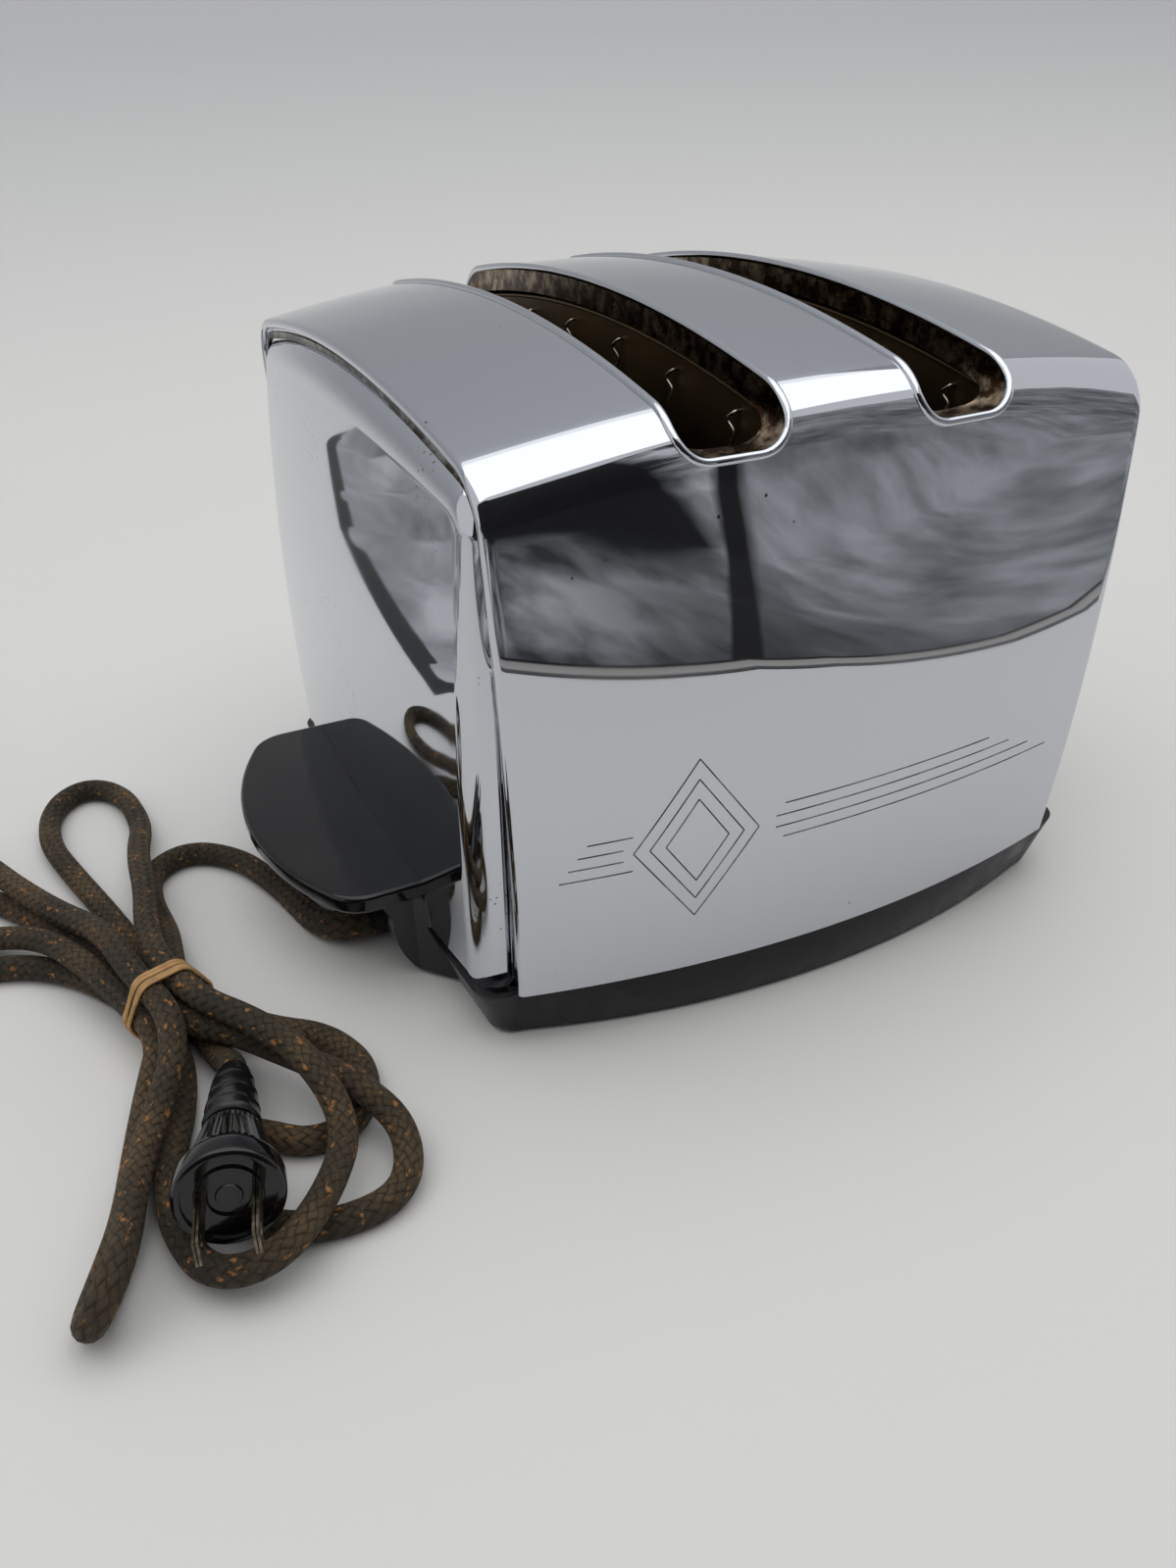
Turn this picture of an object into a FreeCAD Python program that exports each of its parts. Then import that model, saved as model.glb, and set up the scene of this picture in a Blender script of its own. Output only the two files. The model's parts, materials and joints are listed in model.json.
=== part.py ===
import FreeCAD, Part
import math
import os
import re
import Sketcher
from FreeCAD import Placement, Rotation, Vector

# Two-slice chrome toaster with end handles and a cloth-covered lead.
# Millimetres. X runs from the cord end (-X) to the lever end (+X), Y from the engraved
# front (-Y) to the back, Z up. The origin is the middle of the footprint on the table.

doc = FreeCAD.newDocument("toaster")
dims = doc.addObject("Spreadsheet::Sheet", "Dims")

sizes = {
    # chrome body: crown, sides and plan
    "crownTop": 184.0,
    "crownDrop": 9.8,
    "archRadius": 508.0,
    "baseTop": 18.2,
    "seamLow": 92.6,
    "seamLean": 3.9,
    "seamDrop": 18.0,
    "stationOut": 5.9,
    "lowDepth": 96.0,
    "waistDepth": 102.6,
    "waistAt": 92.0,
    "highDepth": 101.5,
    "lowBow": 13.7,
    "waistBow": 8.9,
    "highBow": 4.0,
    "shoulderRound": 16.0,
    "skin": 0.9,
    # bread slots and their rims
    "slotNear": 19.1,
    "slotFar": 47.9,
    "slotDrop": 22.0,
    "slotRound": 8.0,
    "rimDepth": 7.5,
    "rimWall": 0.8,
    "rimSeat": 0.3,
    "beadWidth": 1.6,
    "beadRise": 0.7,
    # end panels
    "panelInset": 5.5,
    "panelLip": 3.5,
    "panelOut": 13.4,
    "pillowRadius": 900.0,
    "pillowAt": 60.0,
    "panelCorner": 13.0,
    "panelEdge": 8.0,
    # black base
    "footRise": 1.5,
    "baseLowHalf": 90.0,
    "baseLowDepth": 91.8,
    "baseLowBow": 15.4,
    "endTopOut": 10.4,
    "endTopBow": 3.0,
    "endTopIn": 7.2,
    "endLowOut": 7.7,
    "endLowBow": 2.3,
    "endLowIn": 7.8,
    "cornerOut": 2.3,
    "baseWall": 3.0,
    "baseLedge": 4.0,
    "ledgeThick": 3.0,
    # handles
    "gripTop": 34.5,
    "gripThick": 6.0,
    "gripOut": 37.3,
    "gripHalf": 55.5,
    "gripSweep": 12.5,
    "gripCorner": 11.0,
    "gripShoulder": 48.0,
    "gripCornerOut": 1.8,
    "gripEdge": 1.6,
    "webHalf": 53.0,
    "webFlare": 64.0,
    "webOut": 9.8,
    "webBellyOut": 4.9,
    "webBellyAt": 10.1,
    "webNeckOut": 6.7,
    "webNeckAt": 22.0,
    "webCove": 4.1,
    "screwThick": 3.5,
    "screwHead": 7.0,
    "screwDeep": 12.0,
    "handleScrewY": 44.0,
    "handleScrewAt": 10.0,
    "baseScrewX": 40.0,
    "baseScrewThick": 2.4,
    "baseScrewHead": 4.8,
    # inner sheets
    "sheetMetal": 0.8,
    "shieldIn": 2.5,
    "chassisIn": 26.6,
    "chassisLow": 20.0,
    "chassisDrop": 34.0,
    "guardGap": 1.7,
    "guardDrop": 9.0,
    "guardLow": 24.0,
    "windowWide": 24.0,
    "windowLow": 44.0,
    "windowDrop": 44.0,
    "legNear": 50.0,
    "legIn": 13.5,
    "legFoot": 7.0,
    "baffleDrop": 26.0,
    # guide wires
    "wireThick": 1.4,
    "wireStand": 3.2,
    "wirePitch": 32.0,
    "wireLow": 36.0,
    "wireDrop": 3.5,
    # heaters
    "cardThick": 0.6,
    "cardHalf": 61.0,
    "cardLow": 26.0,
    "cardDrop": 38.0,
    "earTall": 8.0,
    "cardGap": 6.0,
    "ribbonWide": 1.3,
    "ribbonPitch": 14.5,
    "ribbonLow": 46.0,
    "ribbonThick": 0.4,
    # bread racks and lift
    "rackDrop": 72.0,
    "rackDeep": 7.0,
    "rackThick": 1.2,
    "rackIn": 9.5,
    "rackFinger": 9.5,
    "fingerPitch": 24.0,
    "fingerWide": 5.0,
    "crossbarThick": 3.0,
    "rackStop": 52.0,
    "passWide": 6.0,
    "plateOff": 4.0,
    "plateIn": 6.5,
    "plateTall": 6.0,
    "plateThick": 1.2,
    "plateNeck": 36.0,
    "tabNear": 20.0,
    "tabFar": 31.0,
    "rodOff": 14.0,
    "rodY": 16.0,
    "rodThick": 5.0,
    "runFit": 0.05,
    "bushThick": 10.0,
    "bushTall": 20.0,
    "springThick": 1.2,
    "springRound": 7.8,
    "latchY": 41.0,
    "latchAt": 24.0,
    "latchWide": 6.0,
    "latchLead": 2.5,
    "latchHook": 5.0,
    "latchThick": 2.0,
    "leverWide": 4.0,
    "leverTall": 8.0,
    "leverRise": 6.0,
    "knobGap": 1.2,
    "knobLong": 16.8,
    "leverSlot": 6.0,
    "knobHalf": 11.0,
    "knobTall": 13.0,
    # bottom
    "plateRise": 4.2,
    "hatchIn": 2.0,
    "hatchHalfY": 62.0,
    "hatchGap": 0.6,
    "pinThick": 3.0,
    "footThick": 12.0,
    "footInX": 13.0,
    "footInY": 19.8,
    # browning control
    "dialIn": 8.6,
    "dialAt": 46.0,
    "dialArm": 30.0,
    "dialThick": 1.5,
    "dialSwing": 26.0,
    "bimetalIn": 7.7,
    "bimetalY": 50.0,
    "bimetalTall": 88.0,
    "blockOff": 4.0,
    "blockLong": 28.0,
    "blockTall": 12.0,
    "switchY": 26.0,
    # lead and plug
    "leadThick": 7.5,
    "exitY": -30.0,
    "exitAt": 8.0,
    "bushOut": 7.5,
    "bushRound": 11.0,
    "bushNeck": 7.0,
    "tailLong": 6.5,
    "innerLead": 3.0,
    "bandWide": 4.5,
    "bandThick": 0.9,
    "bandPitch": 8.0,
    "bandRise": 7.0,
    "bandLow": 4.8,
    "bandX": -180.0,
    "bandY": -47.0,
    "bandTurn": -72.5,
    "tapeLong": 20.0,
    "ribPitch": 9.0,
    "ribDeep": 0.9,
    "faceDeep": 1.2,
    "plugFace": 12.8,
    "plugLong": 30.0,
    "neckThick": 12.0,
    "bladeWide": 6.3,
    "bladeLong": 17.5,
    "bladeGap": 12.7,
    "bladeThick": 1.6,
}
# sizes that follow from those above
follow = {
    "seamHigh": "seamLow + seamLean",
    "seamHighAt": "crownTop - seamDrop",
    "station": "seamLow + stationOut",
    "slotFloor": "crownTop - slotDrop",
    "panelFar": "seamLow + panelOut",
    "endTopHalf": "seamLow + endTopOut",
    "endTopDepth": "lowDepth - endTopIn",
    "endLowHalf": "baseLowHalf + endLowOut",
    "endLowDepth": "baseLowDepth - endLowIn",
    "gripFar": "panelFar + gripOut",
    "webFoot": "endLowHalf + webOut",
    "webBelly": "webFoot + webBellyOut",
    "webNeck": "webFoot + webNeckOut",
    "chassisHalf": "seamLow - chassisIn",
    "chassisHigh": "crownTop - chassisDrop",
    "windowHigh": "crownTop - windowDrop",
    "baffleHigh": "crownTop - baffleDrop",
    "cardHigh": "crownTop - cardDrop",
    "rackTop": "crownTop - rackDrop",
    "liftTravel": "rackTop - rackStop",
    "tabAt": "rackTop + 1",
    "rodTop": "chassisHigh - 2",
    "leverAt": "rackTop + leverRise",
    "hookAt": "tabAt - liftTravel + latchLead",
    "knobNear": "panelFar + knobGap",
    "knobFar": "knobNear + knobLong",
    "shieldY": "lowDepth - shieldIn",
    "legFar": "shieldY - legIn",
    "rackHalf": "shieldY - rackIn",
    "plateHalf": "shieldY - plateIn",
    "hatchHalfX": "chassisHalf - hatchIn",
    "footX": "baseLowHalf - footInX",
    "footY": "baseLowDepth - footInY",
    "dialX": "seamLow - dialIn",
    "bimetalX": "min(endLowHalf; endTopHalf) - bimetalIn",
    "blockX": "chassisHalf + blockOff",
    "bushFace": "webFoot + bushOut",
}
for row, (word, size) in enumerate({**sizes, **follow}.items(), 1):
    dims.set("A%d" % row, word)
    dims.setAlias("B%d" % row, word)
    dims.set("B%d" % row, "=" + size if word in follow else str(size))
doc.recompute()

parts = []


def link(text):
    """formula with each size's word turned into its cell in the sheet"""
    known = lambda m: "Dims." + m.group() if m.group() in sizes or m.group() in follow else m.group()
    return re.sub(r"[A-Za-z_]\w*", known, text)


def value(text):
    return float(dims.evalExpression(link(text)))


def at(x, y, z="0"):
    return Vector(value(x), value(y), value(z))


def minus(text):
    return "-(%s)" % text


def tie(thing, **formulas):
    """binds properties of an object to formulas of the sheet's sizes"""
    for prop, text in formulas.items():
        thing.setExpression(prop.replace("__", "."), link(text))


def place(thing, x="0", y="0", z="0"):
    tie(thing, Placement__Base__x=x, Placement__Base__y=y, Placement__Base__z=z)
    return thing


def keep(thing, label):
    """marks an object as a finished sub-part under its own label"""
    thing.Label = label
    parts.append(thing)
    return thing


# building blocks
alongX, alongY = Vector(1, 0, 0), Vector(0, 1, 0)
plateFloor = "(plateRise - sheetMetal)"
corners4 = (("A", "", ""), ("B", "-", ""), ("C", "", "-"), ("D", "-", "-"))


def box(name, x, y, z):
    """block from three pairs of formulas, low side and high side"""
    block = doc.addObject("Part::Box", name)
    tie(block, Length="(%s) - (%s)" % (x[1], x[0]), Width="(%s) - (%s)" % (y[1], y[0]),
        Height="(%s) - (%s)" % (z[1], z[0]))
    return place(block, x[0], y[0], z[0])


def rod(name, radius, length, x, y, z, axis=Vector(0, 0, 1)):
    bar = doc.addObject("Part::Cylinder", name)
    tie(bar, Radius=radius, Height=length)
    bar.Placement = Placement(Vector(), Rotation(Vector(0, 0, 1), axis))
    return place(bar, x, y, z)


def bar(name, radius, length, x, y, z, axis=Vector(0, 0, 1), sides=8):
    """small many-sided bar, for screws and other little round pieces"""
    prism = doc.addObject("Part::Prism", name)
    prism.Polygon = sides
    tie(prism, Circumradius=radius, Height=length)
    prism.Placement = Placement(Vector(), Rotation(Vector(0, 0, 1), axis))
    return place(prism, x, y, z)


def fuse(name, shapes):
    whole = doc.addObject("Part::MultiFuse", name)
    whole.Shapes = shapes
    whole.Refine = True
    return whole


def cut(name, base, tool):
    rest = doc.addObject("Part::Cut", name)
    rest.Base, rest.Tool, rest.Refine = base, tool, True
    return rest


def common(name, base, tool):
    shared = doc.addObject("Part::Common", name)
    shared.Base, shared.Tool, shared.Refine = base, tool, True
    return shared


def mirrored(name, source, normal=Vector(1, 0, 0)):
    twin = doc.addObject("Part::Mirroring", name)
    twin.Source, twin.Normal, twin.Base = source, normal, Vector()
    return twin


def rounded(name, base, radius, test):
    """fillets the edges of a solid that pass a test on the edge"""
    doc.recompute()
    soft = doc.addObject("Part::Fillet", name)
    soft.Base = base
    r = value(radius)
    soft.Edges = [(i, r, r) for i, e in enumerate(base.Shape.Edges, 1) if test(e)]
    return soft


def shaped(name, shape):
    """solid made directly from shape functions"""
    solid = doc.addObject("Part::Feature", name)
    solid.Shape = shape
    return solid


def sketchOn(body, name, role, offset="0"):
    """sketch on one of a body's own origin planes, moved along its normal"""
    sketch = body.newObject("Sketcher::SketchObject", name)
    plane = next(f for f in body.Origin.OriginFeatures if f.Role == role)
    sketch.AttachmentSupport = [(plane, "")]
    sketch.MapMode = "FlatFace"
    tie(sketch, AttachmentOffset__Base__z=offset)
    return sketch


def fix(sketch, geometry, end, x, y):
    """ties one sketch point to formulas for its two coordinates"""
    for kind, text in (("DistanceX", x), ("DistanceY", y)):
        n = sketch.addConstraint(Sketcher.Constraint(kind, -1, 1, geometry, end, value(text)))
        sketch.setExpression("Constraints[%d]" % n, link(text))


def measure(sketch, geometry, text):
    n = sketch.addConstraint(Sketcher.Constraint("Radius", geometry, value(text)))
    sketch.setExpression("Constraints[%d]" % n, link(text))


def passThrough(sketch, arc, x, y):
    """makes an arc's circle pass through a fixed construction point"""
    n = sketch.addGeometry(Part.Point(at(x, y)), True)
    fix(sketch, n, 1, x, y)
    sketch.addConstraint(Sketcher.Constraint("PointOnObject", n, 1, arc))


def outline(sketch, corners, bows=None):
    """closed outline through bound corners; bows gives a middle point for arced sides"""
    bows = bows or {}
    first = sketch.GeometryCount
    count = len(corners)
    starts = []
    for i, (x, y) in enumerate(corners):
        a, b = at(x, y), at(*corners[(i + 1) % count])
        if i in bows:
            middle = at(*bows[i])
            sketch.addGeometry(Part.Arc(a, middle, b))
            # a sketch keeps arcs anticlockwise, so one that turns the other way changes its ends
            starts.append(2 if (middle - a).cross(b - middle).z < 0 else 1)
        else:
            sketch.addGeometry(Part.LineSegment(a, b))
            starts.append(1)
    for i in range(count):
        after = (i + 1) % count
        sketch.addConstraint(Sketcher.Constraint("Coincident", first + i, 3 - starts[i],
                                                 first + after, starts[after]))
    for i, (x, y) in enumerate(corners):
        fix(sketch, first + i, starts[i], x, y)
    for i, (x, y) in bows.items():
        passThrough(sketch, first + i, x, y)


def pad(body, sketch, length, middle=False):
    feature = body.newObject("PartDesign::Pad", sketch.Name + "Pad")
    feature.Profile = sketch
    feature.Midplane = middle
    tie(feature, Length=length)
    return feature


def slab(name, role, offset, corners, length, bows=None, middle=False):
    """body padded from one outline on an origin plane"""
    body = doc.addObject("PartDesign::Body", name)
    sketch = sketchOn(body, name + "Outline", role, offset)
    outline(sketch, corners, bows)
    pad(body, sketch, length, middle)
    return body


def frameOf(x0, x1, y0, y1):
    return [(x0, y0), (x1, y0), (x1, y1), (x0, y1)]


def along(edge, axis):
    """whether an edge is straight and runs along an axis"""
    if edge.Curve.TypeId != "Part::GeomLine":
        return False
    return abs(abs(edge.Curve.Direction.dot(axis)) - 1) < 1e-6


# pillow-shaped body sections


def circleThrough(a, b, c):
    curve = Part.Arc(a, b, c).toShape().Curve
    return curve.Center, curve.Radius


def roundBetween(c1, r1, c2, r2, r):
    """centre of a circle of radius r that touches two larger circles from inside"""
    step = c2 - c1
    p, q = r1 - r, r2 - r
    ahead = (step.Length ** 2 + p * p - q * q) / (2 * step.Length)
    aside = math.sqrt(p * p - ahead * ahead)
    step.normalize()
    side = Vector(step.y, -step.x, 0)
    middle = c1 + step * ahead
    return max((middle + side * aside, middle - side * aside), key=lambda v: v.x + v.y)


def archSection(body, name, where, bow, drop, inset, low, corner="shoulderRound - (%s)"):
    """one cross-section: bulged sides, tangent shoulders and a shallow arched top"""
    sketch = sketchOn(body, name, "YZ_Plane", where)
    halfLow = "lowDepth + %s * lowBow - (%s)" % (bow, inset)
    halfWaist = "waistDepth + %s * waistBow - (%s)" % (bow, inset)
    halfHigh = "highDepth + %s * highBow - (%s)" % (bow, inset)
    top = "crownTop - %s - (%s)" % (drop, inset)
    arch = "archRadius - (%s)" % inset
    rounding = corner % inset if "%s" in corner else corner
    foot, waist, crown = at(halfLow, low), at(halfWaist, "waistAt"), at("0", top)
    c1, r1 = circleThrough(foot, waist, at(halfHigh, "seamHighAt"))
    c2, r2, r = crown - Vector(0, value(arch), 0), value(arch), value(rounding)
    c = roundBetween(c1, r1, c2, r2, r)
    toSide, toArch = (c - c1).normalize(), (c - c2).normalize()
    sideEnd, archEnd = c1 + toSide * r1, c2 + toArch * r2
    knee = c + (toSide + toArch).normalize() * r
    other = lambda v: Vector(-v.x, v.y, 0)
    sketch.addGeometry(Part.LineSegment(other(foot), foot))
    sketch.addGeometry(Part.Arc(foot, waist, sideEnd))
    sketch.addGeometry(Part.Arc(sideEnd, knee, archEnd))
    sketch.addGeometry(Part.Arc(archEnd, crown, other(archEnd)))
    sketch.addGeometry(Part.Arc(other(archEnd), other(knee), other(sideEnd)))
    sketch.addGeometry(Part.Arc(other(sideEnd), other(waist), other(foot)))
    sketch.addConstraint(Sketcher.Constraint("Coincident", 0, 2, 1, 1))
    sketch.addConstraint(Sketcher.Constraint("Coincident", 5, 2, 0, 1))
    for g in range(1, 5):
        sketch.addConstraint(Sketcher.Constraint("Tangent", g, 2, g + 1, 1))
    measure(sketch, 2, rounding)
    measure(sketch, 4, rounding)
    measure(sketch, 3, arch)
    fix(sketch, 0, 1, minus(halfLow), low)
    fix(sketch, 0, 2, halfLow, low)
    passThrough(sketch, 1, halfWaist, "waistAt")
    passThrough(sketch, 1, halfHigh, "seamHighAt")
    passThrough(sketch, 3, "0", top)
    passThrough(sketch, 5, minus(halfWaist), "waistAt")
    passThrough(sketch, 5, minus(halfHigh), "seamHighAt")
    sketch.addConstraint(Sketcher.Constraint("PointOnObject", 3, 3, -2))
    return sketch


def pillow(name, inset, low="baseTop"):
    """lofted body form, moved inwards by an inset (outwards where it is negative)"""
    body = doc.addObject("PartDesign::Body", name)
    stations = [archSection(body, name + "Left", "-station", "0", "crownDrop", inset, low),
                archSection(body, name + "Middle", "0", "1", "0", inset, low),
                archSection(body, name + "Right", "station", "0", "crownDrop", inset, low)]
    loft = body.newObject("PartDesign::AdditiveLoft", name + "Loft")
    loft.Profile = stations[0]
    loft.Sections = stations[1:]
    return body


def flare(name, inset, low="baseTop"):
    """wedge between the two end planes, which lean outwards to the top"""
    high = "crownTop + 20"
    reach = "seamLow + (seamHigh - seamLow) * (%s - baseTop) / (seamHighAt - baseTop) - (%s)"
    foot, head = reach % (low, inset), reach % (high, inset)
    corners = [(minus(foot), low), (foot, low), (head, high), (minus(head), high)]
    return slab(name, "XZ_Plane", "0", corners, "3 * lowDepth", middle=True)


def slotPrism(name, grow):
    """both slot outlines as U shapes through the whole depth, widened by grow"""
    pair = []
    for side, sign in (("Left", -1), ("Right", 1)):
        near, far = "slotNear - (%s)" % grow, "slotFar + %s" % grow
        low, high = "slotFloor - (%s)" % grow, "crownTop + 10"
        corners = frameOf(near, far, low, high)
        if sign < 0:
            corners = frameOf(minus(far), minus(near), low, high)
        body = slab(name + side, "XZ_Plane", "0", corners, "3 * lowDepth", middle=True)
        doc.recompute()
        pair.append(rounded(name + side + "Round", body, "slotRound + %s" % grow,
                            lambda e: along(e, alongY) and e.BoundBox.ZMax < value("slotFloor + 1")))
    return fuse(name, pair)


# chrome body shell with its slots, rolled rims and end hems
outerForm = pillow("outerForm", "0")
innerForm = pillow("innerForm", "skin", "baseTop - 2")
seatForm = pillow("seatForm", "rimSeat")
rimForm = pillow("rimForm", "rimDepth", "baseTop - 2")
beadForm = pillow("beadForm", "-beadRise")
endForm = pillow("endForm", "panelInset + panelLip", "baseTop - 2")
doc.recompute()
outerBody = common("outerBody", outerForm, flare("outerFlare", "0"))
hollow = common("hollow", innerForm, flare("innerFlare", "skin", "baseTop - 2"))
slotCut = slotPrism("slotCut", "0")
rimRing = cut("rimRing", slotPrism("rimOuter", "rimWall"), slotCut)
beadRing = cut("beadRing", slotPrism("beadOuter", "beadWidth"), slotCut)
rims = common("rims", rimRing, cut("rimBand", seatForm, rimForm))
beads = common("beads", beadRing, cut("beadBand", beadForm, seatForm))
wrap = cut("wrap", cut("wrapOpen", cut("wrapHollow", outerBody, hollow), endForm), slotCut)
keep(fuse("shell", [wrap, rims, beads]), "body_shell")
doc.recompute()


# end panels, domed and rounded, seated on the shell's end lips


def panelForm(name, inset, low="footRise"):
    """solid end cap: arched outline pushed out to a shallow dome with a rounded rim"""
    body = doc.addObject("PartDesign::Body", name)
    sketch = archSection(body, name + "Outline", "seamLow - panelEdge", "0", "crownDrop",
                         "panelInset + " + inset, low, "panelCorner - " + inset)
    pad(body, sketch, "panelFar - seamLow + 2 * panelEdge")
    dome = doc.addObject("Part::Sphere", name + "Dome")
    tie(dome, Radius="pillowRadius - " + inset)
    place(dome, "panelFar - pillowRadius", "0", "pillowAt")
    capped = common(name + "Capped", body, dome)
    middle = at("panelFar - pillowRadius", "0", "pillowAt")
    reach, floor = value("pillowRadius - " + inset), value(low)

    def onDome(edge):
        point = edge.valueAt((edge.FirstParameter + edge.LastParameter) / 2)
        return abs((point - middle).Length - reach) < 1e-3 and edge.BoundBox.ZMax > floor + 0.1

    return rounded(name + "Soft", capped, "panelEdge - " + inset, onDome)


aboveBase = box("aboveBase", ("0", "2 * panelFar"), ("-2 * lowDepth", "2 * lowDepth"),
                ("baseTop", "crownTop"))
panelBlock = panelForm("panelOuter", "0")
panelSolid = cut("panelSolid", common("panelUpper", panelBlock, aboveBase), flare("seamWedge", "0"))
panelSheet = cut("panelSheet", panelSolid, panelForm("panelInner", "skin"))
leverPass = box("leverPass", ("seamLow", "panelFar + 4"), ("-leverSlot / 2", "leverSlot / 2"),
                ("leverAt - leverTall / 2 - liftTravel - 4", "leverAt + leverTall / 2 + 4"))
dialPass = box("dialPass", ("seamLow", "panelFar + 4"), ("-dialSwing / 2", "dialSwing / 2"),
               ("dialAt - 2 * dialThick", "dialAt + 2 * dialThick"))
keep(mirrored("panelLeft", panelSheet), "end_panel_left")
keep(cut("panelRight", panelSheet, fuse("controlSlots", [leverPass, dialPass])), "end_panel_right")


# black base ring, bowed on all four sides


def basePlan(body, name, z, level, inset, plain=False):
    """plan of the base at one level, moved inwards by an inset; plain keeps only the long bows"""
    if level == "Low":
        half, depth, bow, skew = "baseLowHalf", "baseLowDepth", "baseLowBow", "endLow"
    else:
        half, depth, bow, skew = "seamLow", "lowDepth", "lowBow", "endTop"
    h, d = "(%s - 0.5 * (%s))" % (half, inset), "(%s - (%s))" % (depth, inset)
    eh, ed = "(%sHalf - (%s))" % (skew, inset), "(%sDepth - 0.6 * (%s))" % (skew, inset)
    cx, cy = "((%s + %s) / 2 + 0.6 * cornerOut)" % (h, eh), "((%s + %s) / 2 + 0.8 * cornerOut)" % (d, ed)
    front, end = "(%s + %s - (%s))" % (depth, bow, inset), "(%sHalf + %sBow - (%s))" % (skew, skew, inset)
    corners = [("-" + h, "-" + d), (h, "-" + d), (eh, "-" + ed), (eh, ed), (h, d), ("-" + h, d),
               ("-" + eh, ed), ("-" + eh, "-" + ed)]
    bows = {0: ("0", "-" + front), 1: (cx, "-" + cy), 2: (end, "0"), 3: (cx, cy),
            4: ("0", front), 5: ("-" + cx, cy), 6: ("-" + end, "0"), 7: ("-" + cx, "-" + cy)}
    if plain:
        bows = {side: bows[side] for side in (0, 4)}
    sketch = sketchOn(body, name, "XY_Plane", z)
    outline(sketch, corners, bows)
    return sketch


def baseForm(name, inset, plain=False):
    body = doc.addObject("PartDesign::Body", name)
    low = basePlan(body, name + "Low", "footRise", "Low", inset, plain)
    high = basePlan(body, name + "High", "baseTop", "Top", inset, plain)
    loft = body.newObject("PartDesign::AdditiveLoft", name + "Loft")
    loft.Profile = low
    loft.Sections = [high]
    return body


baseSolid = baseForm("baseOuter", "0")
roomy = baseForm("baseRoomy", "baseWall", True)
everyX = everyY = ("-2 * panelFar", "2 * panelFar")
overLedge = common("overLedge", roomy,
                   box("overBlock", everyX, everyY, ("plateRise + ledgeThick", "crownTop")))
underLedge = common("underLedge", roomy,
                    box("underBlock", everyX, everyY, ("-plateRise", "plateRise")))
baseVoid = fuse("baseVoid", [overLedge, underLedge, baseForm("baseNarrow", "baseWall + baseLedge", True)])
baseRing = cut("baseRing", baseSolid, baseVoid)


def handleScrews(name, sign):
    """two screws from inside the base's end wall into the handle"""
    wall = "endLowHalf + (endTopHalf - endLowHalf) * (handleScrewAt - footRise) / (baseTop - footRise)"
    seat = "(%s + endTopBow * 0.7 - baseWall)" % wall
    solids = []
    for tag, side in (("Front", "-"), ("Back", "")):
        y = side + "handleScrewY"
        start, head = (seat, seat + " - 2") if sign > 0 else ("-%s - screwDeep" % seat, "-%s" % seat)
        shank = bar(name + tag + "Shank", "screwThick / 2", "screwDeep", start, y, "handleScrewAt", alongX)
        cap = bar(name + tag + "Head", "screwHead / 2", "2", head, y, "handleScrewAt", alongX)
        solids.append(fuse(name + tag, [shank, cap]))
    return solids


def group(name, solids):
    gathered = doc.addObject("Part::Compound", name)
    gathered.Links = solids
    return gathered


def screwsFromBelow():
    """four screws through the bottom plate into the ledge of the base"""
    wall = "baseLowDepth + baseLowBow * (1 - baseScrewX ^ 2 / baseLowHalf ^ 2) - baseWall"
    y = "(%s - baseScrewHead / 2 - 0.3)" % wall
    solids = []
    for tag, x, side in corners4:
        spot = (x + "baseScrewX", side + y)
        shank = bar("underShank" + tag, "baseScrewThick / 2", "ledgeThick", *spot, plateFloor)
        cap = bar("underHead" + tag, "baseScrewHead / 2", "1.4", *spot, plateFloor + " - 1.4")
        solids.append(fuse("underScrew" + tag, [shank, cap]))
    return solids


screwsRight, screwsLeft = handleScrews("screwRight", 1), handleScrews("screwLeft", -1)
underScrews = screwsFromBelow()
keep(group("handleScrewGroup", screwsRight + screwsLeft), "handle_screws")
keep(group("underScrewGroup", underScrews), "base_screws")
bushing = keep(fuse("exitBushing", [
    rod("bushBody", "bushRound / 2", "bushFace - endLowHalf", "-bushFace", "exitY", "exitAt", alongX),
    rod("bushTail", "bushNeck / 2", "tailLong", "-endLowHalf", "exitY", "exitAt", alongX)]),
    "strain_relief")
keep(cut("baseBored", baseRing, fuse("baseBores", screwsRight + screwsLeft + underScrews + [bushing])),
     "base")


# handles: a swept grip plate on a curved web that hugs the end


def gripPlate():
    root = "seamLow + panelInset"
    side = "gripFar - gripSweep - gripCorner"
    tip = "gripFar - gripSweep"
    midX = "gripFar - gripSweep - gripCorner / 2 + 0.56 * gripCornerOut"
    midY = "(gripShoulder + gripHalf) / 2 + 0.83 * gripCornerOut"
    corners = [(root, "-gripHalf"), (side, "-gripHalf"), (tip, "-gripShoulder"),
               (tip, "gripShoulder"), (side, "gripHalf"), (root, "gripHalf")]
    bows = {1: (midX, "-(%s)" % midY), 2: ("gripFar", "0"), 3: (midX, midY)}
    plate = slab("grip", "XY_Plane", "gripTop - gripThick", corners, "gripThick", bows)
    inner = value(root)
    return rounded("gripSoft", plate, "gripEdge",
                   lambda e: e.BoundBox.ZLength < 0.01 and e.BoundBox.XMax > inner + 1)


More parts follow.
